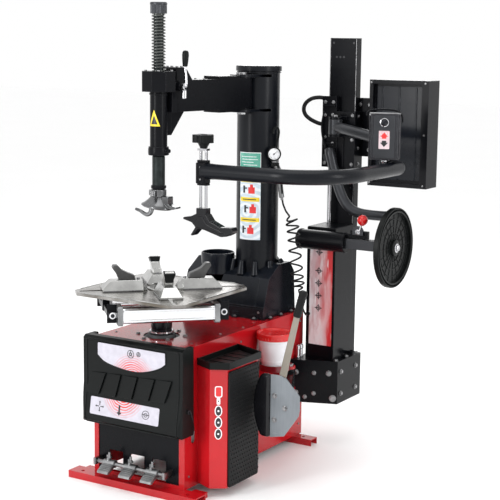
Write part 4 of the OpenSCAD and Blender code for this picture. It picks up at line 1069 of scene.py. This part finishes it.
# ---------------------------------------------------------------- inflator
def build_inflator():
    out = Vector((0.53, -0.848, 0)).normalized()
    dial = Vector((172, 322, 1322))
    gun = Form().rod(dial - out * 6 - Vector((0, 0, 28)), (182, 344, 1250), 13).rod((182, 344, 1252),
            (197, 352, 1130), 11)
    gun.lathe([(0, 0), (9, 0), (9, 10), (6, 13), (6, 24), (0, 24)], (195.5, 351.2, 1142), (15, 8, -128), 24)
    gun.rod((182, 344, 1268), (186, 330, 1280), 4)
    piece("inflator_grip", "frame", gun, CAST_ALLOY, ("inflator_gun",), bevel=1.5, segments=3)
    body = Form().lathe([(0, 0), (28, 0), (31, 3), (31, 17), (29.5, 20), (25.5, 20), (24.5, 17), (0, 17)],
            dial - out * 8, out, 64)
    body.tube(smooth_path([(180, 327, 1346), (182, 330, 1372), (186, 334, 1398), (186, 337, 1422), (176, 337, 1437),
            (164, 332, 1430),
            (162, 328, 1408)], 6), 4.6, 12)
    body.lathe([(12, 0), (15, 1), (15.5, 5), (15, 14), (12, 15), (12, 0)], dial - Vector((0, 0, 38)),
            (0.1, 0.2, -1), 28)
    piece("inflator_body", "frame", body, MOULDED, bevel=0.4)
    face = Form().lathe([(0, 0), (24.6, 0), (24.6, 1.2), (0, 1.6)], dial + out * 9, out, 48)
    piece("inflator_dial", "frame", face, INK_WHITE, bevel=0)
    marks = Form()
    u, v, w = axes(out)
    centre = dial + out * 10.6
    for k in range(27):
        a = math.radians(-225 + 270 * k / 26 + 45)
        r0, wide = (17.5 if k % 5 == 0 else 20), (0.7 if k % 5 == 0 else 0.4)
        d, t = u * math.cos(a) + v * math.sin(a), v * math.cos(a) - u * math.sin(a)
        marks.rings([[centre + d * r0 - t * wide, centre + d * r0 + t * wide, centre + d * 22.5 + t * wide,
                centre + d * 22.5 - t * wide],
                [p + w * 0.3 for p in (centre + d * r0 - t * wide, centre + d * r0 + t * wide,
                centre + d * 22.5 + t * wide, centre + d * 22.5 - t * wide)]])
    d, t = (u * 0.75 + v * 0.66).normalized(), (v * 0.75 - u * 0.66).normalized()
    needle = [centre - d * 6 - t * 1.3, centre - d * 6 + t * 1.3, centre + d * 19 + t * 0.3,
            centre + d * 19 - t * 0.3]
    marks.rings([needle, [p + w * 0.9 for p in needle]])
    marks.lathe([(3.2, 0), (3.2, 1.2), (2, 1.8), (0, 1.8)], centre, out, 20)
    piece("inflator_dial_marks", "frame", marks, INK_BLACK, bevel=0)
    lever = Form().tube(smooth_path([(190, 322, 1282), (194, 323, 1262), (201, 326, 1230), (207, 329, 1196),
            (210, 330.5, 1168), (211, 331, 1150)], 4), 4, 12)
    lever.rod((183.5, 318, 1280), (196.5, 326, 1280), 4)
    piece("inflator_trigger", "trigger", lever, MOULDED, ("inflator_lever",), bevel=0.3)


build_inflator()


# ---------------------------------------------------------------- helper mast
def build_mast():
    decal = banner_look()
    banner = Form().front(soft_rect(276, 464, 390, 924, 3), 474.3, 475.2)
    piece("mast_banner", "frame", banner, decal, bevel=0)
    marks = Form()
    for z in (884, 800, 744, 688, 632):
        marks.lathe([(11, 0), (11, 0.4), (8, 0.4), (8, 0), (11, 0)], (322, 474.3, z), FRONT, 24)
        marks.front(soft_rect(304, z - 2, 340, z + 2, 1.5), 473.9, 474.4)
        marks.front(soft_rect(320, z - 17, 324, z + 17, 1.5), 473.9, 474.4)
    piece("mast_banner_marks", "frame", marks, INK_BLACK, bevel=0)

    trim = Form()
    for x in (263, 399):
        trim.block((x - 2, 473.5, 404), (x + 2, 476, 990))
    trim.block((262, 476, 990), (400, 638, 996))
    trim.rod((402, 600, 416), (438, 600, 416), 7).lathe([(0, 0), (12, 0), (13, 3), (13, 14), (10, 18), (0, 18)],
            (424, 600, 416), X, 28)
    piece("mast_box_trim", "frame", trim, BLACK, bevel=1.2)

    # flat black discs on the rail face: painted shade standing in for the rail's holes, none of which is cut
    painted_hole_shade = Form()
    for x, z in ((300, 1738), (318, 1738), (336, 1738), (284, 1800), (384, 1800)):
        painted_hole_shade.lathe([(5, 0), (5, 0.6), (0, 0.6)], (x, 640, z), FRONT, 20)
    for z in range(1040, 1240, 60):
        painted_hole_shade.lathe([(4, 0), (4, 0.6), (0, 0.6)], (384, 640, z), FRONT, 16)
    piece("mast_rail_painted_hole_shade", "frame", painted_hole_shade, INK_BLACK, bevel=0)
    guide = Form()
    for x in (268.5, 397.5):
        guide.block((x - 1.5, 638.4, 1000), (x + 1.5, 640.5, 1818))
    piece("mast_rail_wear_strips", "frame", guide, ZINC, bevel=0.4)

    out = Vector((0.352, -0.936, 0))
    along = Vector((0.936, 0.352, 0))
    bolts = Form()
    corner = Vector((228, 392, 0))
    for s, z, r in ((28, 344, 9), (28, 250, 9), (110, 344, 7), (110, 250, 7), (176, 346, 9), (196, 232, 11),
            (70, 232, 7)):
        bolts.bolt(corner + along * s + Vector((0, 0, z)), out, r)
    for x, y in ((414, 480), (414, 672), (246, 672), (414, 580)):
        bolts.bolt((x, y, 400), Z, 8)
    for y, z in ((500, 350), (640, 350), (500, 250), (640, 250)):
        bolts.bolt((430, y, z), X, 8)
    piece("bracket_bolts", "frame", bolts, ZINC, bevel=0.4)
    fitting = Form()
    for y in (432, 458):
        fitting.lathe([(0, 0), (12, 0), (12, 10), (8, 12), (8, 40), (11, 42), (11, 58), (6, 62), (0, 62)],
                (247, y, 400), Z, 28)
    piece("air_fittings", "frame", fitting, CHROME, bevel=0.5)

    frame_bolts = Form()
    for x, z in ((266, 1540), (306, 1540), (266, 1482), (266, 1384), (266, 1268), (402, 1484), (402, 1268),
            (402, 1376), (304, 1484), (304, 1356)):
        frame_bolts.bolt((x, 606, z), FRONT, 5.6, 4)
    for z in (1270, 1340, 1410, 1480):
        frame_bolts.bolt((416, 640, z), X, 5.6, 4)
        frame_bolts.bolt((252, 640, z), (-1, 0, 0), 5.6, 4)
    frame_bolts.lathe([(0, 0), (14, 0), (14, 7), (9, 10), (0, 10)], (343, 560, 1479), Z, 32)
    piece("carriage_bolts", "lift_carriage", frame_bolts, ZINC, bevel=0.4)
    ribs = Form()
    for z in (1330, 1350, 1520):
        ribs.block((256, 598, z), (318, 607, z + 8))
    ribs.block((322, 600, 1254), (330, 607, 1388)).block((356, 600, 1254), (364, 607, 1388))
    ribs.tube(smooth_path([(262, 604, 1500), (256, 596, 1440), (262, 592, 1390), (276, 596, 1340),
            (290, 600, 1300)], 5), 5, 10)
    piece("carriage_ribs", "lift_carriage", ribs, BLACK, bevel=1.5)

    bent = Form().tube(smooth_path([(308, 578, 1330), (312, 573, 1318), (318, 572, 1300), (328, 572, 1264),
            (343, 572, 1214), (362, 572, 1160),
            (386, 572, 1112), (416, 574, 1078), (452, 582, 1060), (492, 600, 1052), (530, 622, 1048),
            (560, 645, 1046),
            (585, 662, 1046)], 4), 22.5, 28)
    bent.lathe([(0, 0), (21, 0), (22, 2), (22, 35), (0, 35)], (300, 571, 1296), Y, 36)
    piece("roller_arm_tube", "lift_carriage", bent, GREY_ENAMEL, ("roller_arm",), bevel=0.8)
    roller = Form().lathe([(0, 1006.5), (30, 1006.5), (34, 1010), (34, 1032), (32, 1035), (32, 1039), (34, 1042),
            (34, 1060), (30, 1066), (0, 1068)],
            (586, 664, 0), n=48)
    piece("rim_roller", "lift_carriage", roller, RUBBER, bevel=0.8)

    inner = Form().block((512, 624.5, 1212), (728, 626.4, 1618))
    for x in (540, 620, 700):
        inner.block((x - 3, 621, 1216), (x + 3, 626, 1614))
    piece("valve_box_panel", "lift_carriage", inner, GLOSS_BLACK, bevel=0.6)
    fasten = Form()
    for x in (496, 752):
        for z in (1196, 1414, 1634):
            fasten.screw((x, 598, z), FRONT, 4.5, 2.5)
    for x, z in ((400, 1330), (400, 1530), (450, 1330), (450, 1530)):
        fasten.bolt((x, 681, z), FRONT, 7, 4)
    piece("valve_box_screws", "lift_carriage", fasten, ZINC, bevel=0.3)


build_mast()


# ---------------------------------------------------------------- control box and press arm
def build_control():
    box = Form(POST, BOX_TURN).level(soft_rect(-60, -110, 60, -27, 9), 1331.2, 1519.6)
    box.block((-63, -107, 1332), (-59, -32, 1519)).block((59, -107, 1332), (63, -32, 1519))
    piece("control_housing", "link", box, BOX_GREY, ("control_box",), bevel=3.5, segments=3)
    face = Form(POST, BOX_TURN).front(soft_rect(-43, 1338, 43, 1512, 8), -112.4, -108)
    for x in (-54, -49, 49, 54):
        face.block((x - 1.4, -111.8, 1342), (x + 1.4, -108, 1508))
    piece("control_face", "link", face, GREY_ENAMEL, bevel=1.2)
    hood = Form(POST, BOX_TURN).tube([(-60, -110, 1512), (-60, -110, 1521), (58, -110, 1521), (62, -104, 1520),
            (62, -40, 1519)], 3.2, 12)
    piece("control_hood_rod", "link", hood, ZINC, bevel=0)
    bail = Form(POST, BOX_TURN).tube(smooth_path([(-74, -96, 1512), (-72, -92, 1522), (-58, -86, 1531),
            (-20, -84, 1535), (22, -84, 1534.5), (52, -84, 1528),
            (67, -82, 1514), (71, -80, 1496), (71, -78, 1484)], 5), 4, 14)
    bail.rod((55, -84, 1515), (55, -84, 1530), 4).rod((-55, -84, 1515), (-55, -84, 1532), 4)
    piece("control_bail", "link", bail, BLACK, bevel=0)
    bezel = Form(POST, BOX_TURN).lathe([(19, 0), (18, 4), (15, 5), (13, 4), (13, 0), (19, 0)], (0, -112.4, 1484),
            FRONT, 40)
    piece("stick_bezel", "link", bezel, CHROME, bevel=0.3)
    label = Form(POST, BOX_TURN).front(soft_rect(-22, 1376, 22, 1450, 3), -112.8, -112)
    piece("control_label", "link", label, print_look("control_label_print", (0.78, 0.62, 0.66), (0.72, 0.32, 0.34),
            (725, 270, 1440), 40, (0.5, 0.9), (10, 40)),
            bevel=0)
    up = Form(POST, BOX_TURN).front([(-9, 1418), (9, 1418), (9, 1426), (16, 1426), (0, 1443), (-16, 1426),
            (-9, 1426)], -113.2, -112.6)
    down = Form(POST, BOX_TURN).front([(-9, 1410), (9, 1410), (9, 1402), (16, 1402), (0, 1384), (-16, 1402),
            (-9, 1402)], -113.2, -112.6)
    piece("control_up_arrow", "link", up, INK_RED, bevel=0)
    piece("control_down_arrow", "link", down, INK_BLACK, bevel=0)
    knob = Form(POST, BOX_TURN).lathe([(0, 0), (8, 0), (12, 4), (12, 10), (9, 14), (0, 14)], (0, -84, 1331),
            (0, 0, -1), 32)
    knob.lathe([(25, 0), (28, 1), (28, 7), (25, 8), (25, 0)], (0, 0, 1321.5), Z, 40)
    piece("control_base_knob", "link", knob, CHROME, bevel=0.4)

    stick = Form(POST, BOX_TURN).lathe([(0, -8), (9.5, -8), (9.5, 8), (0, 8)], (0, -123, 1484), X, 32)
    stick.rod((0, -124, 1484), (0, -142, 1484), 4.6, 4.0).ball((0, -150, 1484), 12, 28)
    piece("control_stick_ball", "stick", stick, GLOSS_BLACK, ("control_lever",), bevel=0.8)

    run = [Vector((163, -212, 1290)), Vector((330, -212, 1290)), Vector((488, -212, 1290))]
    run += [Vector((x, y, 1290)) for x, y in arc(488, 38, 250, -90, 0, 30)[1:]]
    run += [Vector((738, 150, 1290)), Vector((738, 270, 1290)), Vector((738, 378, 1290))]
    run += [Vector((x, y, 1290)) for x, y in arc(709, 378, 29, 0, 160, 10)[1:]]
    run.insert(1, Vector((186, -212, 1290)))
    run.insert(2, Vector((230, -212, 1290)))
    tube = Form().tube(run, [33, 33, 31] + [29.8] * 33 + [29.6] * 2 + [28.8] * 10, 40)
    tube.lathe([(16.2, 0), (26, 0), (27, 2), (27, 60), (25, 62), (16.2, 62), (16.2, 0)],
            POST + Vector((0, 0, 1258)), n=48)
    piece("press_arm_tube", "press", tube, TUBE_BLACK, ("press_arm",), bevel=0.8)
    block = Form(BLOCK).level(soft_rect(-25, -24, 20, 24, 8), 1240.4, 1323.6)
    block.level(soft_rect(-24, -15, 24, 15, 6), 1323, 1334).level(soft_rect(-24, -15, 24, 15, 6), 1232, 1241)
    piece("press_block", "press", block, BLACK, bevel=2.5, segments=3)
    pins = Form(BLOCK)
    for z in (1258, 1306):
        pins.screw((-25, 0, z), (-1, 0, 0), 6, 4).screw((0, -24, z), FRONT, 4, 3)
    piece("press_block_screws", "press", pins, ZINC, bevel=0.3)

    web = Form(BLOCK).front([(-50, 1028), (-40, 1026), (-10, 1058), (20, 1053), (96, 1032), (122, 1036),
            (148, 1049), (155, 1060), (147, 1073), (96, 1070),
            (46, 1091), (26, 1118), (-22, 1118), (-48, 1105), (-85, 1099), (-87, 1091), (-44, 1080), (-27, 1062)],
            -21, 21)
    piece("press_foot_casting", "presser", web, CAST_BLACK, ("press_foot",), bevel=6, segments=4,
            sharp=24)
    rib = Form(BLOCK).front([(-34, 1072), (-20, 1062), (18, 1060), (90, 1046), (118, 1048), (88, 1060), (34, 1078),
            (12, 1108), (-12, 1108)], -24, 24)
    rib.level(soft_rect(-24, -20, 24, 20, 6), 1112, 1140.6)
    piece("press_foot_rib", "presser", rib, CAST_BLACK, bevel=3.5, segments=3, sharp=24)
    turns = (2 * math.pi * k / 100 for k in range(100))
    lobes = [((39.5 + 6.2 * math.cos(5 * a)) * math.cos(a), (39.5 + 6.2 * math.cos(5 * a)) * math.sin(a))
            for a in turns]
    knob = Form(BLOCK).level(lobes, 1403, 1435.5).lathe([(0, 1380.8), (15, 1380.8), (16, 1386), (26, 1404),
            (0, 1404)], (0, 0, 0), n=40)
    knob.lathe([(0, 1434), (14, 1434), (12, 1437), (0, 1438)], (0, 0, 0), n=40)
    piece("press_knob_lobed", "knob", knob, MOULDED, ("press_knob",), bevel=4, segments=4,
            sharp=40)


build_control()


# ---------------------------------------------------------------- bead lifting disc
def build_disc():
    y, z = 432, 945
    rings = Form().lathe([(43, 0), (45.5, 1), (45.5, 10), (43, 12), (43, 0)], (248, y, z), X, 56)
    rings.lathe([(43, 0), (45, 1), (45, 8), (43, 10), (43, 0)], (470, y, z), X, 56)
    piece("disc_sleeve_rings", "frame", rings, BLACK, bevel=0.5)

    profile = [(0, 10), (150, 10), (150, 24), (157, 25), (160, 12), (164, 12), (165, 24), (169, 24), (171, 21),
            (171, 2), (169, 0), (0, 0)]
    disc = Form().lathe(profile, (691, y, z), X, 120)
    for r in (62, 92, 122):
        disc.lathe([(r, 9.5), (r, 13), (r + 3, 13), (r + 3, 9.5), (r, 9.5)], (691, y, z), X, 96)
    disc.lathe([(0, 9), (36, 9), (34, 24), (24, 27), (0, 27)], (691, y, z), X, 48)
    at = Vector((0, y, z))
    for k in range(20):
        a = math.radians(18 * k)
        d, t = Vector((0, math.cos(a), math.sin(a))), Vector((0, -math.sin(a), math.cos(a)))
        disc.rings([[at + d * 32 - t * 1.0 + Vector((x, 0, 0)), at + d * 32 + t * 1.0 + Vector((x, 0, 0)),
                at + d * 152 + t * 1.2 + Vector((x, 0, 0)), at + d * 152 - t * 1.2 + Vector((x, 0,
                0))] for x in (700.5, 703.5)])
    piece("lifting_disc_moulding", "disc", disc, MOULDED, ("lifting_disc",), bevel=0.7)
    axle = Form().rod((652, y, z), (718, y, z), 11).bolt((717.5, y, z), X, 13, 6)
    axle.lathe([(20, 0), (20, 3), (13, 5), (13, 0), (20, 0)], (717, y, z), X, 36)
    piece("disc_axle", "disc", axle, CHROME, bevel=0.5)

    cam = Form().front([(514, 985), (566, 985)] + arc(540, 1000, 26, -10, 190, 20), y - 18, y - 8.4)
    piece("cam_plate", "cam", cam, GREY_ENAMEL, ("disc_cam_lever",), bevel=1.5, segments=3)
    stalk = Form().rod((548, y - 14.8, 1008), (558, y - 14.8, 1040), 4.6).bolt((540, y - 18, 1000), FRONT, 8)
    piece("cam_stalk", "cam", stalk, CHROME, bevel=0.4)
    ball = Form().ball((560, y - 13, 1052), 23, 40).rod((557, y - 13, 1030), (558, y - 13, 1036), 10, 12)
    piece("cam_ball", "cam", ball, RED_PLASTIC, bevel=0.4)


build_disc()


# ---------------------------------------------------------------- light and floor
def area_light(name, place, target, size, watts, tint=(1, 1, 1)):
    data = bpy.data.lights.new(name, "AREA")
    data.shape = "RECTANGLE"
    data.size, data.size_y = size
    data.energy = watts
    data.color = tint
    lamp = bpy.data.objects.new(name, data)
    lamp.location = place
    lamp.rotation_euler = (Vector(target) - Vector(place)).to_track_quat("-Z", "Y").to_euler()
    bpy.context.collection.objects.link(lamp)


def add_stage():
    """A pale seamless floor, a pale world and soft lamps."""
    bpy.ops.mesh.primitive_plane_add(size=60, location=(0, 0, 0))
    floor = bpy.context.object
    floor.name = "floor"
    g = Graph("pale_floor")
    g.put(g.mix(g.span(g.noise(0.8), 0.3, 0.7), (0.985, 0.985, 0.985), (0.995, 0.995, 0.995)),
            g.shader.inputs["Base Color"])
    g.put(0.7, g.shader.inputs["Roughness"])
    floor.data.materials.append(g.mat)
    world = bpy.data.worlds.new("world")
    world.use_nodes = True
    back = world.node_tree.nodes["Background"]
    back.inputs[0].default_value = (1, 1, 1, 1)
    back.inputs[1].default_value = 1.0
    bpy.context.scene.world = world
    bpy.context.scene.view_settings.view_transform = "Standard"
    area_light("key", (-1.2, -4.6, 2.3), (0, 0, 1.0), (0.8, 2.8), 90)
    area_light("top", (0.4, -0.6, 4.6), (0, 0, 0.5), (3.0, 3.0), 50)
    area_light("side", (4.6, -0.4, 2.2), (0.1, 0, 0.9), (0.8, 2.4), 40)
    area_light("rear", (-1.8, 4.2, 3.0), (0, 0.2, 1.0), (2.0, 2.0), 40)


add_stage()
